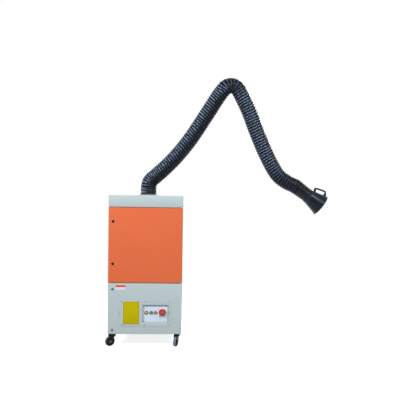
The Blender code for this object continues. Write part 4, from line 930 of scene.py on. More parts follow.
def access_plate():
    """Screwed plate with the pressed recess, its two bare label plates and its screws."""
    place = facing(0, plate_front, plate_centre)
    sheet = 0.002
    centre = (recess_centre[0], -recess_centre[1])

    def plate_loop(inset, level):
        return inset_loop(plate_size, plate_corner, inset, level, place)

    def recess_loop(inset, level):
        corner = max(recess_corner, recess_corner / 8 + inset)
        return inset_loop(recess_size, corner, inset, level, place, centre)

    bend = bend_steps(0.0022, fine)
    back = [recess_loop(0, recess_depth + sheet), recess_loop(-sheet, recess_depth),
            recess_loop(-sheet, sheet)]
    rim = [plate_loop(0.0005, sheet), plate_loop(0, sheet - 0.0005), plate_loop(0, 0.0007),
           plate_loop(0.0007, 0)]
    front = [recess_loop(-inset, rise) for inset, rise in bend]
    front += [recess_loop(rise, recess_depth - inset) for inset, rise in bend]
    piece("access_plate_pressing", loft(back + rim + front), pale_coat, "service_door", "access_plate")

    half_x = plate_size[0] / 2
    half_z = plate_size[1] / 2
    spots = [(x, z) for x in (-half_x + 0.025, 0.003, half_x - 0.019)
             for z in (-half_z + 0.015, half_z - 0.010)]
    spots += [(-half_x + 0.0095, 0.002), (half_x - 0.0065, 0.002)]
    heads = [button_head(fronting(x, plate_front, plate_centre + z), 0.0050) for x, z in spots]
    piece("access_plate_screws", group(*heads), screw_grey, "service_door")
    film_place = fronting(-0.1178, plate_front, plate_centre + 0.0065)
    backing = slab(0.168, 0.224, 0.004, 0, 0.0004, film_place, 0.0001)
    piece("yellow_plate_backing", backing, backing_film, "service_door")
    place = fronting(-0.1180, plate_front, plate_centre + 0.0055)
    plate = slab(*yellow_size, 0.004, 0, 0.0009, place, 0.0004)
    piece("bare_yellow_plate", plate, bare_yellow, "service_door")
    border = [inset_loop(yellow_size, 0.002 + inset, inset, level, place)
              for inset, level in ((0.0040, 0.0007), (0.0040, 0.0012), (0.0044, 0.0014), (0.0066, 0.0014),
                                   (0.0070, 0.0012), (0.0070, 0.0007))]
    piece("yellow_plate_border", loft(border, close=True), yellow_border, "service_door")
    place = fronting(-0.2115, door_front, 0.4140)
    piece("bare_white_plate", slab(0.092, 0.048, 0.003, 0, 0.0009, place, 0.0004), bare_white, "service_door")
    band = slab(0.089, 0.0170, 0.002, 0.0007, 0.0013, place, 0.0002, (0, 0.0142))
    piece("white_plate_band", band, label_band, "service_door")


def controls():
    """Control plate with its screws, the amber lamp, and the two buttons in their twin bezel."""
    middle = (recess_centre[0], control_face, plate_centre + recess_centre[1])
    inner = (recess_size[0] - 0.008, recess_size[1] - 0.008)
    sheet = slab(*inner, 0.004, 0, 0.0015, facing(*middle), 0.0004)
    piece("control_plate_sheet", sheet, control_coat, "service_door", "control_plate")
    corners = [(sx * (inner[0] / 2 - 0.008), sz * (inner[1] / 2 - 0.008)) for sx in (-1, 1) for sz in (-1, 1)]
    heads = [button_head(fronting(middle[0] + x, control_face, middle[2] + z), 0.0030) for x, z in corners]
    piece("control_plate_screws", group(*heads), plated, "service_door")

    spots = {name: fronting(x, control_face, lamp_row) for name, x in lamp_columns.items()}
    lamp = spots["amber"]
    bezel = [(0.0088, fit), (0.0149, fit), (0.0149, 0.0046), (0.0136, 0.0086), (0.0088, 0.0094)]
    ring = turned(bezel, 0.0008, lamp, close=True)
    foot = rod(0.0112, fit, 0.0020, lamp)
    piece("amber_lamp_bezel", group(ring, foot), bezel_amber_reflection, "service_door")
    dome = [(0, 0.0020), (lens_radius, 0.0020), (lens_radius, lens_rim)]
    for angle in [math.pi / 2 * step / 8 for step in range(1, 8)]:
        dome.append((lens_radius * math.cos(angle), lens_rim + lens_dome * math.sin(angle)))
    dome.append((0, lens_rim + lens_dome))
    piece("amber_lamp_lens", lathe(dome, lamp), amber, "service_door", "amber_lamp")

    buttons = ("green", "red")
    bezel = [(0.0104, fit), (0.0147, fit), (0.0147, 0.0046), (0.0134, 0.0084), (0.0104, 0.0088)]
    rings = [turned(bezel, 0.0008, spots[name], close=True) for name in buttons]
    piece("button_bezel_rings", group(*rings), bezel_grey, "service_door", "button_bezels")
    reach = (lamp_columns["red"] - lamp_columns["green"]) / 2
    web_place = fronting(lamp_columns["green"] + reach, control_face, lamp_row)
    web = prism(rounded_bar((-reach, 0), (reach, 0), 0.0141), fit, 0.0009, web_place)
    bores = [rod(0.0109, -cut_reach, cut_reach, spots[name], round_sides) for name in buttons]
    piece("button_bezel_web", cut(web, *bores), control_coat, "service_door")
    cap = [(0, 0.0038), (0.0100, 0.0038), (0.0100, 0.0108), (0.0086, 0.0116), (0.0060, 0.0110), (0, 0.0108)]
    for name, finish in zip(buttons, (green_plastic, red_plastic)):
        body = f"{name}_button"
        piece(f"{name}_button_cap", turned(cap, 0.0006, spots[name]), finish, body, body)


def isolator():
    """Yellow plate with its ring, and the notched knob with its grip."""
    place = fronting(isolator_x, control_face, lamp_row + isolator_rise)
    plate = slab(0.0615, 0.0610, 0.004, fit, 0.0033, place, 0.0008, (-0.0012, -0.0010))
    ring = turned([(0.0296, 0.0030), (0.0312, 0.0030), (0.0312, 0.0040), (0.0296, 0.0040)], 0.0003, place,
                  close=True)
    piece("isolator_plate_body", group(plate, ring), isolator_yellow, "service_door", "isolator_plate")
    base = turned([(0, 0.0036), (knob_radius, 0.0036), (knob_radius, 0.0096), (0.0274, 0.0136), (0, 0.0136)],
                  0.0012, place)
    notches = [rod(0.0011, 0.0045, 0.02, axes(spot, (0, -1, 0)), 8)
               for spot, out in around(place, 28, knob_radius)]
    grip = [lifted(place, rounded_bar((0, -0.0220 * share), (0, 0.0220 * share), 0.0070 * share), level)
            for share, level in ((1.0, 0.0120), (1.0, 0.0255), (0.97, 0.0275), (0.86, 0.0290))]
    knob = cut(base, group(*notches))
    piece("isolator_knob_body", group(knob, loft(grip)), crimson_plastic, "isolator_knob", "isolator_knob")


# Castors


def castor(name):
    """Plate with bolts and ball race, fork with axle, and the wheel as tyre and hub."""
    swivel = joint_place(f"castor_swivel_{name}")
    swivel.z = 0
    axle = joint_place(f"castor_roll_{name}")
    spin = joint_place(f"castor_roll_{name}", "axis")
    trail = Vector((axle.x - swivel.x, axle.y - swivel.y, 0)).normalized()
    centre = Matrix.Translation(swivel)
    plate = slab(0.070, 0.080, 0.006, -0.0033, -fit, centre, 0.0006)
    bolts = [hex_head(axes(centre @ Vector((sx * 0.027, sy * 0.031, -0.0033)), (0, 0, -1)), 0.0052, 0.0040)
             for sx in (-1, 1) for sy in (-1, 1)]
    piece(f"castor_plate_{name}_pressing", group(plate, *bolts), plated, "cabinet", f"castor_plate_{name}")
    race = [(0.0070, -0.0030), (0.0262, -0.0030), (0.0262, -0.0075), (0.0225, -0.0113), (0.0070, -0.0113)]
    piece(f"castor_race_{name}", turned(race, 0.0012, centre, close=True), black_coat, "cabinet")

    side = trail.cross(Vector((0, 0, 1)))
    upright = axes(swivel, side, trail)
    sign = 1 if upright.to_3x3().col[1].z > 0 else -1
    outline = [(-0.025, crown_top), (-0.0245, crown_top - 0.006)]
    for step in range(19):
        angle = math.radians(205 + 150 * step / 18)
        outline.append((trail_length + fork_eye * math.cos(angle), axle.z + fork_eye * math.sin(angle)))
    outline += [(0.0395, crown_top - 0.018), (0.036, crown_top - 0.005), (0.030, crown_top)]
    outline = [(x, sign * z) for x, z in outline]
    outer = fork_inner + fork_sheet
    legs = [prism(outline, fork_inner, outer, upright), prism(outline, -outer, -fork_inner, upright)]
    crown_place = axes(swivel, (0, 0, 1), trail)
    crown = slab(0.054, 0.050, 0.016, crown_top - crown_sheet, crown_top, crown_place, 0.0012, (0.002, 0))
    dome = turned([(0, crown_top - 0.0155), (0.021, crown_top - 0.0155), (0.0275, crown_top - 0.0110),
                   (0.0275, crown_top), (0, crown_top)], 0.0015, centre)
    pin = turned([(0, crown_top - 0.008), (0.0072, crown_top - 0.008), (0.0072, crown_top - 0.005),
                  (0.006, crown_top - 0.005), (0.006, -0.0036), (0, -0.0036)], 0.0008, centre, small_sides)
    body = f"swivel_{name}"
    pressing = group(*legs, crown, dome, pin)
    piece(f"castor_fork_{name}_pressing", pressing, black_coat, body, f"castor_fork_{name}")
    ends = [hex_head(axes(axle + way * side * outer, way * side), 0.0072, 0.0052) for way in (-1, 1)]
    piece(f"castor_axle_{name}", group(rod(0.005, -outer, outer, axes(axle, side)), *ends), gunmetal, body)

    place = axes(axle, spin)
    felloe = wheel_radius - tread_depth
    body = f"wheel_{name}"
    half = [(wheel_radius, 0), (wheel_radius - 0.0004, 0.0075), (wheel_radius - 0.0016, 0.0112),
            (felloe + 0.0015, wheel_half), (felloe - 0.001, wheel_half - 0.0012)]
    tread = [(radius, -level) for radius, level in half[:0:-1]] + half
    tyre = turned(tread, 0.0014, place, smooth_sides, close=True)
    piece(f"castor_tyre_{name}", tyre, tyre_painted_reflection, body, f"castor_wheel_{name}")
    half = [(0.0055, 0.0122), (0.0110, 0.0122), (0.0130, 0.0062), (felloe - 0.0080, 0.0052),
            (felloe - 0.0050, 0.0116), (felloe - 0.0012, 0.0118)]
    hub = turned(half + [(radius, -level) for radius, level in reversed(half)], 0.0008, place, close=True)
    ribs = [slab(felloe - 0.0165, 0.0024, 0.0008, -0.0094, 0.0094, axes(spot, spin, out), 0.0005)
            for spot, out in around(place, 6, (felloe + 0.0055) / 2)]
    piece(f"castor_hub_{name}", group(hub, *ribs), hub_plastic, body)


# Fan, motor and filters


def impeller():
    """Backplate with its hub, inlet ring and swept blades."""
    axis = joint_place("fan_spin")
    centre = Matrix.Translation((axis.x, axis.y, 0))
    low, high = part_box("fan_impeller")
    top = high.z
    disc = top - 0.086
    hub = [(0, low.z), (0.012, low.z), (0.012, disc), (0.149, disc), (0.150, disc + 0.001),
           (0.149, disc + 0.003), (0.060, disc + 0.004), (0.034, disc + 0.012), (0.022, disc + 0.030),
           (0.020, disc + 0.033), (0, disc + 0.034)]
    inlet = [(0.098, top - 0.003), (0.110, top - 0.0045), (0.149, top - 0.003), (0.150, top - 0.001),
             (0.149, top), (0.108, top - 0.001), (0.098, top)]
    parts = [turned(hub, 0.002, centre, smooth_sides), lathe(inlet, centre, smooth_sides, close=True)]
    for start in turns(8):
        loops = []
        for share in [step / 12 for step in range(13)]:
            angle = start - blade_sweep * (0.75 * share + 0.25 * share * share)
            across = 0.0012 * Vector((-math.sin(angle + 0.5), math.cos(angle + 0.5), 0))
            radius = 0.070 + 0.0790 * share
            spot = centre @ Vector((radius * math.cos(angle), radius * math.sin(angle), 0))
            foot = Vector((0, 0, disc + 0.002))
            crest = Vector((0, 0, top - 0.0035 - 0.0015 * (1 - share)))
            loops.append([spot + across + foot, spot + across + crest,
                          spot - across + crest, spot - across + foot])
        parts.append(loft(loops))
    piece("impeller_wheel", group(*parts), spun_aluminium, "fan_rotor", "fan_impeller")


def motor():
    """Finned motor with its flange bolts and terminal box."""
    axis = joint_place("fan_spin")
    centre = Matrix.Translation((axis.x, axis.y, 0))
    low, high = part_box("fan_motor")
    top = high.z
    foot = low.z
    body = [(0, top - 0.036), (0.0125, top - 0.036), (0.0125, top), (0.085, top), (0.085, top - 0.010),
            (0.064, top - 0.012), (0.062, foot + 0.047), (0.068, foot + 0.045), (0.072, foot + 0.043),
            (0.072, foot + 0.006), (0.066, foot), (0.030, foot), (0.028, foot + 0.004), (0, foot + 0.004)]
    shapes = [turned(body, 0.0015, centre, smooth_sides)]
    for spot, out in around(centre, 32, 0.0648, 0, math.pi / 32):
        if out.y > -math.cos(math.radians(36)):
            fin_place = axes(spot, (0, 0, 1), out)
            shapes.append(slab(0.0070, 0.0024, 0.0009, foot + 0.047, top - 0.014, fin_place, 0.0005))
    for spot, out in around(centre, 4, 0.076, top - 0.010, math.pi / 4):
        shapes.append(hex_head(axes(spot, (0, 0, -1)), 0.0065, 0.0050))
    place = axes((axis.x, low.y + 0.0018, (high.z + low.z) / 2 + 0.0075), (0, -1, 0))
    shapes.append(slab(0.078, 0.068, 0.006, -0.045, 0, place, 0.0020))
    shapes.append(slab(0.080, 0.070, 0.007, 0.0002, 0.0018, place, 0.0008))
    for sx in (-1, 1):
        for sz in (-1, 1):
            spot = place @ Vector((sx * 0.034, sz * 0.029, 0.0016))
            shapes.append(button_head(axes(spot, (0, -1, 0)), 0.0026))
    piece("motor_body", group(*shapes), motor_enamel, "cabinet", "fan_motor")


def box_ring(low, high, wall):
    """Open frame of four walls between two corners."""
    edge = 0.0015
    place = Matrix.Translation(((low.x + high.x) / 2, (low.y + high.y) / 2, 0))
    return loft([inset_loop((high.x - low.x, high.y - low.y), 0.003 + inset, inset, level, place, steps=3)
                 for inset, level in ((0, low.z + edge), (0, high.z - edge), (edge, high.z), (wall, high.z),
                                      (wall, low.z), (edge, low.z))], close=True)


def folded_media(low, high, wall, folds, depth, base, soft=False):
    """Media folded across the frame. Soft folds are waves and the others are sharp pleats."""
    half = (high.x - low.x) / 2 - wall + overlap
    reach = (high.y - low.y) / 2 - wall + overlap
    steps = folds * (8 if soft else 2)
    outline = []
    for step in range(steps + 1):
        wave = (1 - math.cos(2 * math.pi * folds * step / steps)) / 2 if soft else step % 2
        outline.append((-half + 2 * half * step / steps, depth * wave + base))
    outline += [(x, z - 0.0035) for x, z in reversed(outline)]
    middle = (low.y + high.y) / 2
    return loft([[Vector((x, y, z)) for x, z in outline] for y in (middle - reach, middle + reach)])


def filters():
    low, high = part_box("main_filter")
    parts = [folded_media(low, high, 0.018, 46, 0.036, base) for base in (high.z - 0.054, low.z + 0.022)]
    piece("main_filter_cassette", group(box_ring(low, high, 0.018), *parts), media, "cabinet", "main_filter")
    low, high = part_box("prefilter")
    waves = folded_media(low, high, 0.012, 20, 0.020, low.z + 0.014, soft=True)
    piece("prefilter_cassette", group(box_ring(low, high, 0.012), waves), media, "cabinet", "prefilter")


# Arm ends


def inlet_flange():
    place = Matrix.Translation((0, 0, cabinet_height))
    profile = [(0.0665, -0.020), (0.0695, -0.020), (0.0695, 0.0002), (0.0870, 0.0002), (0.0870, 0.0045),
               (0.0845, 0.0070), (0.0665, 0.0070)]
    ring = turned(profile, 0.0012, place, smooth_sides, close=True)
    piece("inlet_flange_ring", ring, pale_coat, "cabinet", "inlet_flange")
    up = (0, 0, 1)
    heads = [button_head(axes(spot, up), 0.0030)
             for spot, out in around(place, 6, 0.0812, 0.0064, math.pi / 6)]
    piece("inlet_flange_screws", group(*heads), plated, "cabinet")


def fork(centre, root, half_gap, radius):
    """Two cheeks from the root to the pivot."""
    place = axes((0, 0, 0), (0, -1, 0))
    outline = rounded_bar((root.x, root.z), (centre.x, centre.z), radius)
    outer = half_gap + ear_thickness
    return group(prism(outline, half_gap, outer, place), prism(outline, -outer, -half_gap, place))


def clamp_band(place, radius, low, width, degrees):
    """Worm-drive band: rounded strip, screw housing and screw."""
    outer = radius + 0.0011
    section = [(radius, low), (outer, low), (outer, low + width), (radius, low + width)]
    strip = turned(section, 0.0004, place, smooth_sides, close=True)
    spot = place @ Matrix.Rotation(math.radians(degrees), 4, "Z")
    middle = low + width / 2
    box = spot @ axes((radius + 0.0010, 0, middle), (1, 0, 0), (0, 1, 0))
    housing = slab(0.015, width + 0.001, 0.003, 0, 0.0042, box, 0.0012)
    screw = hex_head(spot @ axes((radius + 0.0034, 0.0070, middle), (0, 1, 0), (1, 0, 0)), 0.0034, 0.0040)
    return group(strip, housing, screw)


def swivel_collar():
    """Spun collar that carries the hose, with its foot, two clamp bands, cross bar and shoulder fork."""
    place = Matrix.Translation((0, 0, cabinet_height))
    profile = [(0.0602, -0.0077), (0.0652, -0.0077), (0.0652, 0.0073), (0.0755, 0.0073), (0.0755, 0.0100),
               (0.0740, 0.0128), (shell_radius, 0.0140), (shell_radius, 0.0700), (0.0730, 0.0722),
               (0.0736, 0.0745), (0.0728, 0.0768), (0.0708, 0.0776), (0.0672, 0.0776), (0.0640, 0.0760),
               (0.0640, 0.0135), (0.0602, 0.0090)]
    shell = turned(profile, 0.0010, place, smooth_sides, close=True)
    bar_foot = cabinet_height + 0.028
    bar = slab(0.026, 0.134, 0.0035, bar_foot, bar_foot + 0.008, Matrix.Identity(4), 0.0012)
    cheeks = fork(shoulder, Vector((0, 0, bar_foot + ear_radius)), link_thickness / 2 + fit, ear_radius)
    piece("swivel_collar_shell", group(shell, bar, cheeks), collar_coat, "turret", "swivel_collar")
    bands = [clamp_band(place, shell_radius - 0.0001, *band)
             for band in ((0.026, 0.016, -82), (0.059, 0.011, -60))]
    piece("swivel_collar_bands", group(*bands), band_coat, "turret")
    wires = [torus(shell_radius, level, 0.0009, 8, place) for level in (0.0195, 0.0505)]
    piece("swivel_collar_wires", group(*wires), gunmetal, "turret")
    pin = [(0, -0.0152), (0.009, -0.0152), (0.009, -0.0105), (0.005, -0.0103), (0.005, 0.0103),
           (0.009, 0.0105), (0.009, 0.0152), (0, 0.0152)]
    piece("shoulder_pin", turned(pin, 0.0006, axes(shoulder, (0, 1, 0)), small_sides), plated, "turret")


def hood_point(distance, height):
    return wrist + direction(hood_deg) * distance + outward(hood_deg) * height


def hood():
    """Neck tube with its cross bar, fork and clamp band, and the cone with its rolled mouth and seam."""
    place = axes(wrist, direction(hood_deg), (0, 1, 0))
    inside = neck_radius - neck_wall
    cuff_end = neck_start + neck_cuff
    profile = [(inside, neck_start), (neck_cuff_radius - 0.001, neck_start),
               (neck_cuff_radius, neck_start + 0.001), (0.0675, cuff_end), (0.0665, cuff_end + 0.020),
               (0.0640, 0.3150), (0.0655, 0.3170), (0.0655, 0.3198), (neck_radius, 0.3215),
               (neck_radius, seam_at), (inside, seam_at)]
    tube = turned(profile, 0.0012, place, smooth_sides, close=True)
    bar_top = cuff_end + 0.005
    bar = slab(2 * neck_radius - neck_wall, 0.024, 0.003, cuff_end, bar_top, place, 0.001)
    half_gap = link_thickness / 2 + 2 * fit + overlap
    cheeks = fork(wrist, hood_point(bar_top - hood_ear, 0), half_gap, hood_ear)
    piece("hood_neck_tube", group(tube, bar, cheeks), hood_plastic, "hood_neck", "hood_neck")
    band = clamp_band(place, neck_cuff_radius, neck_start + 0.003, 0.011, 120)
    piece("hood_neck_band", band, black_coat, "hood_neck")

    socket = seam_at - cone_socket
    mouth = seam_at + cone_length
    bead = cone_small + 0.0010
    profile = [(cone_bore, socket), (cone_small - 0.0003, socket), (cone_small, socket + 0.001),
               (cone_small, seam_at - 0.0030), (bead, seam_at - 0.0022), (bead, seam_at + 0.0022),
               (cone_small + cone_slope * 0.003, seam_at + 0.0030),
               (cone_mouth - cone_slope * 0.006, mouth - 0.0075), (cone_mouth + 0.0030, mouth - 0.0062),
               (cone_mouth + 0.0034, mouth - 0.0030), (cone_mouth + 0.0030, mouth),
               (cone_mouth - cone_wall, mouth), (cone_small - cone_wall, seam_at + 0.0005),
               (cone_bore, seam_at + 0.0005)]
    cone = turned(profile, 0.0010, place, smooth_sides, close=True)
    piece("hood_cone_shell", cone, hood_plastic, "hood", "hood_cone")
    piece("hood_seam_wire", torus(cone_small + 0.0012, seam_at, 0.0008, 10, place), gunmetal, "hood")


def hood_handle():
    """Strap handle on two feet that stand on the cone."""
    feet_at = [hood_point(seam_at + reach, cone_small + reach * cone_slope - 0.006)
               for reach in (0.017, 0.116)]
    knees = [hood_point(seam_at + reach, height)
             for reach, height in ((0.002, 0.101), (0.096, 0.131), (0.112, 0.116))]
    corners = [feet_at[0], *knees, feet_at[1]]
    path = [corners[0]]
    for before, corner, after in zip(corners, corners[1:], corners[2:]):
        start = corner + (before - corner).normalized() * handle_bend
        end = corner + (after - corner).normalized() * handle_bend
        path += rounded_corner(start, corner, end, 8)
    path.append(corners[-1])
    loops = []
    for index, point in enumerate(path):
        share = index / (len(path) - 1)
        thick = 0.0080 + 0.0030 * max(0.0, 1 - 3 * share) + 0.0070 * max(0.0, 5 * share - 4)
        place = axes(point, path[min(index + 1, len(path) - 1)] - path[max(index - 1, 0)], (0, 1, 0))
        loops.append(lifted(place, [(0.0100 * x, thick * y) for x, y in polygon(small_sides, 1.0)]))
    feet = []
    for spot in feet_at:
        up = outward(hood_deg + math.degrees(math.atan(cone_slope)))
        place = axes(spot + outward(hood_deg) * 0.0050, up, (0, 1, 0))
        feet.append(slab(0.028, 0.023, 0.005, -0.004, 0.0026, place, 0.001))
    piece("hood_handle_grip", group(loft(loops), *feet), handle_coat, "hood", "hood_handle")


# Hose


def station(start, degrees, distance, offset, turn, reach_in, reach_out):
    """Anchor beside a link: its point, the way the hose runs there, and the curve's reach on both sides."""
    point = start + direction(degrees) * distance + outward(degrees) * offset
    return point, degrees + turn, reach_in, reach_out


def hose_path():
    """Centreline from the collar to the hood's neck as (distance along it, point)."""
    bisector = (lower_deg + upper_deg) / 2
    centre = elbow + outward(bisector) * (elbow_rise - elbow_radius)
    arc_reach = elbow_radius * 4 / 3 * math.tan(math.radians(elbow_turn) / 4)
    arc = [(centre + outward(bisector + turn) * elbow_radius, bisector + turn)
           for turn in (elbow_turn, 0, -elbow_turn)]
    low = lower_length
    up = upper_length
    dia = 2 * hose_radius
    collar_top = Vector((0, 0, cabinet_height + collar_height + fit))
    neck_end = hood_point(neck_start - fit, 0)
    anchors = [
        (collar_top, 90, 0, hose_lead / 3),
        (collar_top + direction(86) * hose_lead, 84, hose_lead / 3, 0.14 * dia),
        station(shoulder, lower_deg, 0.38 * dia, -0.05 * dia, -10, 0.31 * dia, 0.07 * low),
        station(shoulder, lower_deg, 0.32 * low, -0.245 * dia, 0.5, 0.09 * low, 0.17 * low),
        station(shoulder, lower_deg, 0.72 * low, 0.09 * dia, 8, 0.148 * low, 0.086 * low),
        (*arc[0], 0.08 * low, arc_reach),
        (*arc[1], arc_reach, arc_reach),
        (*arc[2], arc_reach, 0.10 * up),
        station(elbow, upper_deg, 0.375 * up, 0.154 * dia, -10, 0.12 * up, 0.14 * up),
        station(elbow, upper_deg, 0.86 * up, -0.19 * dia, -1, 0.14 * up, 0.14 * up),
        (hood_point(0.52 * dia, -0.12 * dia), hood_deg + 3, 0.42 * dia, 0.37 * dia),
        (neck_end - direction(hood_deg) * neck_lead, hood_deg, 0.28 * dia, neck_lead / 3),
        (neck_end, hood_deg, neck_lead / 3, 0),
    ]
    points = [anchors[0][0]]
    for here, there in zip(anchors, anchors[1:]):
        first = here[0] + direction(here[1]) * here[3]
        second = there[0] - direction(there[1]) * there[2]
        points += interpolate_bezier(here[0], first, second, there[0], path_steps)[1:]
    path = [(0.0, points[0])]
    for before, after in zip(points, points[1:]):
        path.append((path[-1][0] + (after - before).length, after))
    return path


def along(path, distance):
    """Point of the path at a distance along it."""
    low, high = 0, len(path) - 1
    while high - low > 1:
        middle = (low + high) // 2
        if path[middle][0] <= distance:
            low = middle
        else:
            high = middle
    (start, before), (end, after) = path[low], path[high]
    return before.lerp(after, (distance - start) / (end - start))


def hose_place(path, distance):
    """Place on the centreline, with local Z along it."""
    before = along(path, max(distance - tangent_reach, 0))
    ahead = along(path, min(distance + tangent_reach, path[-1][0])) - before
    ahead.normalize()
    return axes(along(path, distance), ahead, Vector((0, 1, 0)).cross(ahead))


def waver(distance, turn, lengthwise, crosswise):
    """Smooth unevenness over the hose, from -1 to 1."""
    across, height = math.cos(turn) * crosswise, math.sin(turn) * crosswise
    return noise.noise(Vector((distance * lengthwise, across, height)))


def clamped(share):
    return min(max(share, 0), 1)


def rib_place(distance, turn):
    """Distance along the hose by which the ribs are laid: on the lower arm they hang towards the vertical."""
    rise = clamped((distance - lean_start / 2) / lean_start)
    fall = clamped((lean_end - distance) / lean_start)
    lean = rib_lean * min(rise, fall) * hose_radius * math.cos(turn)
    packed = max(0.0, 1 - distance / packed_end)
    packing = packed_ribs * rib_pitch * packed * packed * (3 - 2 * packed)
    return distance + lean + rib_shift * waver(distance, turn, 24, 2.4) - packing


def rib_height(place, turn, strength):
    """Height over the valley, with the wire of the helix under the crests."""
    phase = place / rib_pitch - turn / (2 * math.pi)
    away = abs(phase - round(phase))
    ridge = math.exp(-((away / 0.13) ** 2))
    crown = (1 - 2 * away) ** 2
    return (hose_crest - hose_valley) * strength * (0.38 * crown + 0.62 * ridge)


def hose_ring(distance, total):
    """Outline of the ribbed skin: narrow at both ends, creased near the hood, pulled at the elbow."""
    worn = max(0.0, 1 - (total - distance) / wrinkled_end)
    narrowed = min(distance / collar_reach, 1) * (1 - worn * worn)
    calm = 1 - 0.5 * clamped((distance - total + 0.45) / 0.33)
    pulled = 0.6 * max(0.0, 1 - abs(distance - elbow_at) / 0.13)
    strength = calm * (1 - 0.85 * worn) * (1 - pulled)
    ring = []
    for turn in turns(hose_sides):
        radius = hose_end + (hose_valley - hose_end) * narrowed
        radius += rib_height(rib_place(distance, turn), turn, strength)
        radius += 0.0007 * waver(distance, turn, 14, 1.1) + 0.0016 * worn * waver(distance, turn, 75, 1.6)
        ring.append((radius * math.cos(turn), radius * math.sin(turn)))
    return ring


def hose_run(name, path, start, end, fabric, *replaced):
    """One run of ribbed hose with a helix of constant pitch, its bore, and a map of length and girth."""
    total = path[-1][0]
    count = max(round((end - start) / rib_pitch * rib_steps), 8)
    distances = [start + (end - start) * index / count for index in range(count + 1)]
    rows = [(distance, lifted(hose_place(path, distance), hose_ring(distance, total)))
            for distance in distances]
    for index in range(count, -1, -1):
        if index % rib_steps == 0 or index == count:
            place = hose_place(path, distances[index])
            rows.append((distances[index], lifted(place, polygon(hose_sides, hose_bore))))
    points = [point for distance, ring in rows for point in ring]
    faces = []
    spots = []
    for row, (near, ring) in enumerate(rows):
        after = (row + 1) % len(rows)
        far = rows[after][0]
        for k in range(hose_sides):
            j = (k + 1) % hose_sides
            faces.append((row * hose_sides + k, row * hose_sides + j, after * hose_sides + j,
                          after * hose_sides + k))
            for distance, step in ((near, k), (near, k + 1), (far, k + 1), (far, k)):
                turn = 2 * math.pi * step / hose_sides
                spots.append((rib_place(distance, turn), turn * hose_radius))
    mesh = bpy.data.meshes.new(name)
    mesh.from_pydata(points, [], faces)
    layer = mesh.uv_layers.new(name="length_and_girth")
    for loop, spot in zip(layer.data, spots):
        loop.uv = spot
    mesh.materials.append(fabric)
    mesh.shade_smooth()
    thing = placed(name, mesh)
    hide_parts(*replaced)
    return thing


def hose():
    """Three runs of hose, cut at two distances along the path, each with its place baked into its mesh."""
    path = hose_path()
    total = path[-1][0]
    fabric = hose_fabric(total)
    root = hose_run("hose_shoulder", path, 0, lower_cut, fabric, "hose_shoulder_bend", "hose_lower_run")
    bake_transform(root)
    bend = hose_run("hose_elbow", path, lower_cut, upper_cut, fabric, "hose_elbow_bend")
    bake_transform(bend)
    tip = hose_run("hose_wrist", path, upper_cut, total, fabric, "hose_upper_run", "hose_wrist_bend")
    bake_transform(tip)


# Studio


def seen(tree):
    """1 for rays from the camera, and for those that gloss and glass send on."""
    camera_ray, glossy, passed = [add_node(tree, "ShaderNodeLightPath", output=name)
                                  for name in ("Is Camera Ray", "Is Glossy Ray", "Is Transmission Ray")]
    return (camera_ray + glossy + passed).clamp()


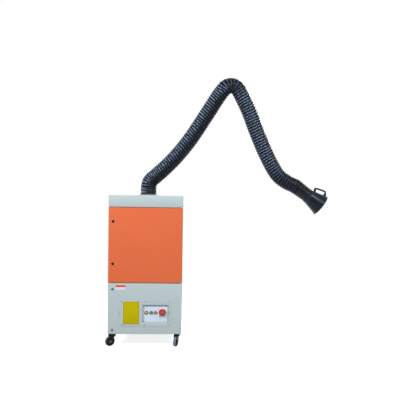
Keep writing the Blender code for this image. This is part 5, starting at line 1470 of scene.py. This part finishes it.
def studio():
    """Pale surroundings, three soft lamps and a floor that keeps the object's shadow."""
    scene = bpy.context.scene
    scene.view_settings.view_transform = "Standard"
    scene.world = bpy.data.worlds.new("studio")
    scene.world.use_nodes = True
    tree = scene.world.node_tree
    light = add_node(tree, "ShaderNodeBackground", inputs={"Color": (0.96, 0.98, 1.0, 1), "Strength": 0.30})
    white = add_node(tree, "ShaderNodeBackground", inputs={"Color": (1, 1, 1, 1)})
    mixed = add_node(tree, "ShaderNodeMixShader", inputs={0: seen(tree), 1: light, 2: white})
    feed(tree, tree.nodes["World Output"].inputs["Surface"], mixed)

    for name, spot, aim, size, power, color in (
            ("key", (-3.2, -3.3, 3.6), (0.2, 0, 1.2), 1.8, 172, (0.98, 0.99, 1.0)),
            ("fill", (2.9, -4.4, 4.2), (0.4, 0, 1.1), 1.5, 211, (0.985, 0.995, 1.0)),
            ("rim", (2.4, 3.4, 3.6), (0.4, 0, 1.2), 1.4, 110, (0.97, 0.985, 1.0))):
        lamp = bpy.data.lights.new(name, "AREA")
        lamp.size = size
        lamp.energy = power
        lamp.color = color
        placed(name, lamp).matrix_world = axes(spot, Vector(spot) - Vector(aim), (0, 1, 0))

    floor = Finish("studio_floor", (0.9, 0.9, 0.9, 1), 0.9, specular_level=0.0, emission_strength=0.78)
    in_view = seen(floor.tree)
    floor.set("Base Color", floor.mix(in_view, (0.16, 0.16, 0.16, 1), (0.9, 0.9, 0.9, 1)))
    floor.set("Emission Color", floor.mix(in_view, (0, 0, 0, 1), (1, 1, 1, 1)))
    away = floor.node("ShaderNodeVectorMath", {"operation": "LENGTH"}, {0: floor.place()}, "Value")
    floor.set("Alpha", 1 - away.ramp(1.3, 2.6))
    disc = rod(2.7, -0.004, 0, Matrix.Identity(4), smooth_sides)
    thing = placed("studio_floor", as_mesh("studio_floor", disc))
    thing.data.materials.append(floor.material)
    thing.location = (0.35, 0, cad_box[0][2])


def camera():
    """The photograph's viewpoint: in front of the cabinet, at chest height, turned a little to the right."""
    yaw, pitch, roll = (math.radians(angle) for angle in (2.7936, 1.4638, 0.8808))
    ahead = Vector((math.sin(yaw) * math.cos(pitch), math.cos(yaw) * math.cos(pitch), -math.sin(pitch)))
    right = Vector((math.cos(yaw), -math.sin(yaw), 0))
    up = right.cross(ahead)
    lens = bpy.data.cameras.new("camera")
    lens.sensor_width = 36
    lens.lens = 42.33
    thing = placed("camera", lens)
    thing.matrix_world = axes((0.3341, -4.6003, 1.2332), -ahead, right * math.cos(roll) + up * math.sin(roll))
    bpy.context.scene.camera = thing


paint_nodes(pale_coat[0], "left_side_panel", "right_side_panel", "front_frame", "rear_panel")
paint_nodes(zinc, "partition_plate", "spark_arrestor", "fan_housing")
paint_nodes(seal_rubber, "filter_door_seal", "service_door_seal")
paint_nodes(aluminium, "lower_link", "upper_link")
paint_nodes(plated[0], "elbow_bolt", "wrist_bolt")
cabinet_shells()
rear_screws()
cable_gland()
doors()
access_plate()
controls()
isolator()
for corner in ("front_left", "front_right", "rear_left", "rear_right"):
    castor(corner)
impeller()
motor()
filters()
inlet_flange()
swivel_collar()
hood()
hood_handle()
hose()
studio()
camera()

bpy.context.view_layer.update()
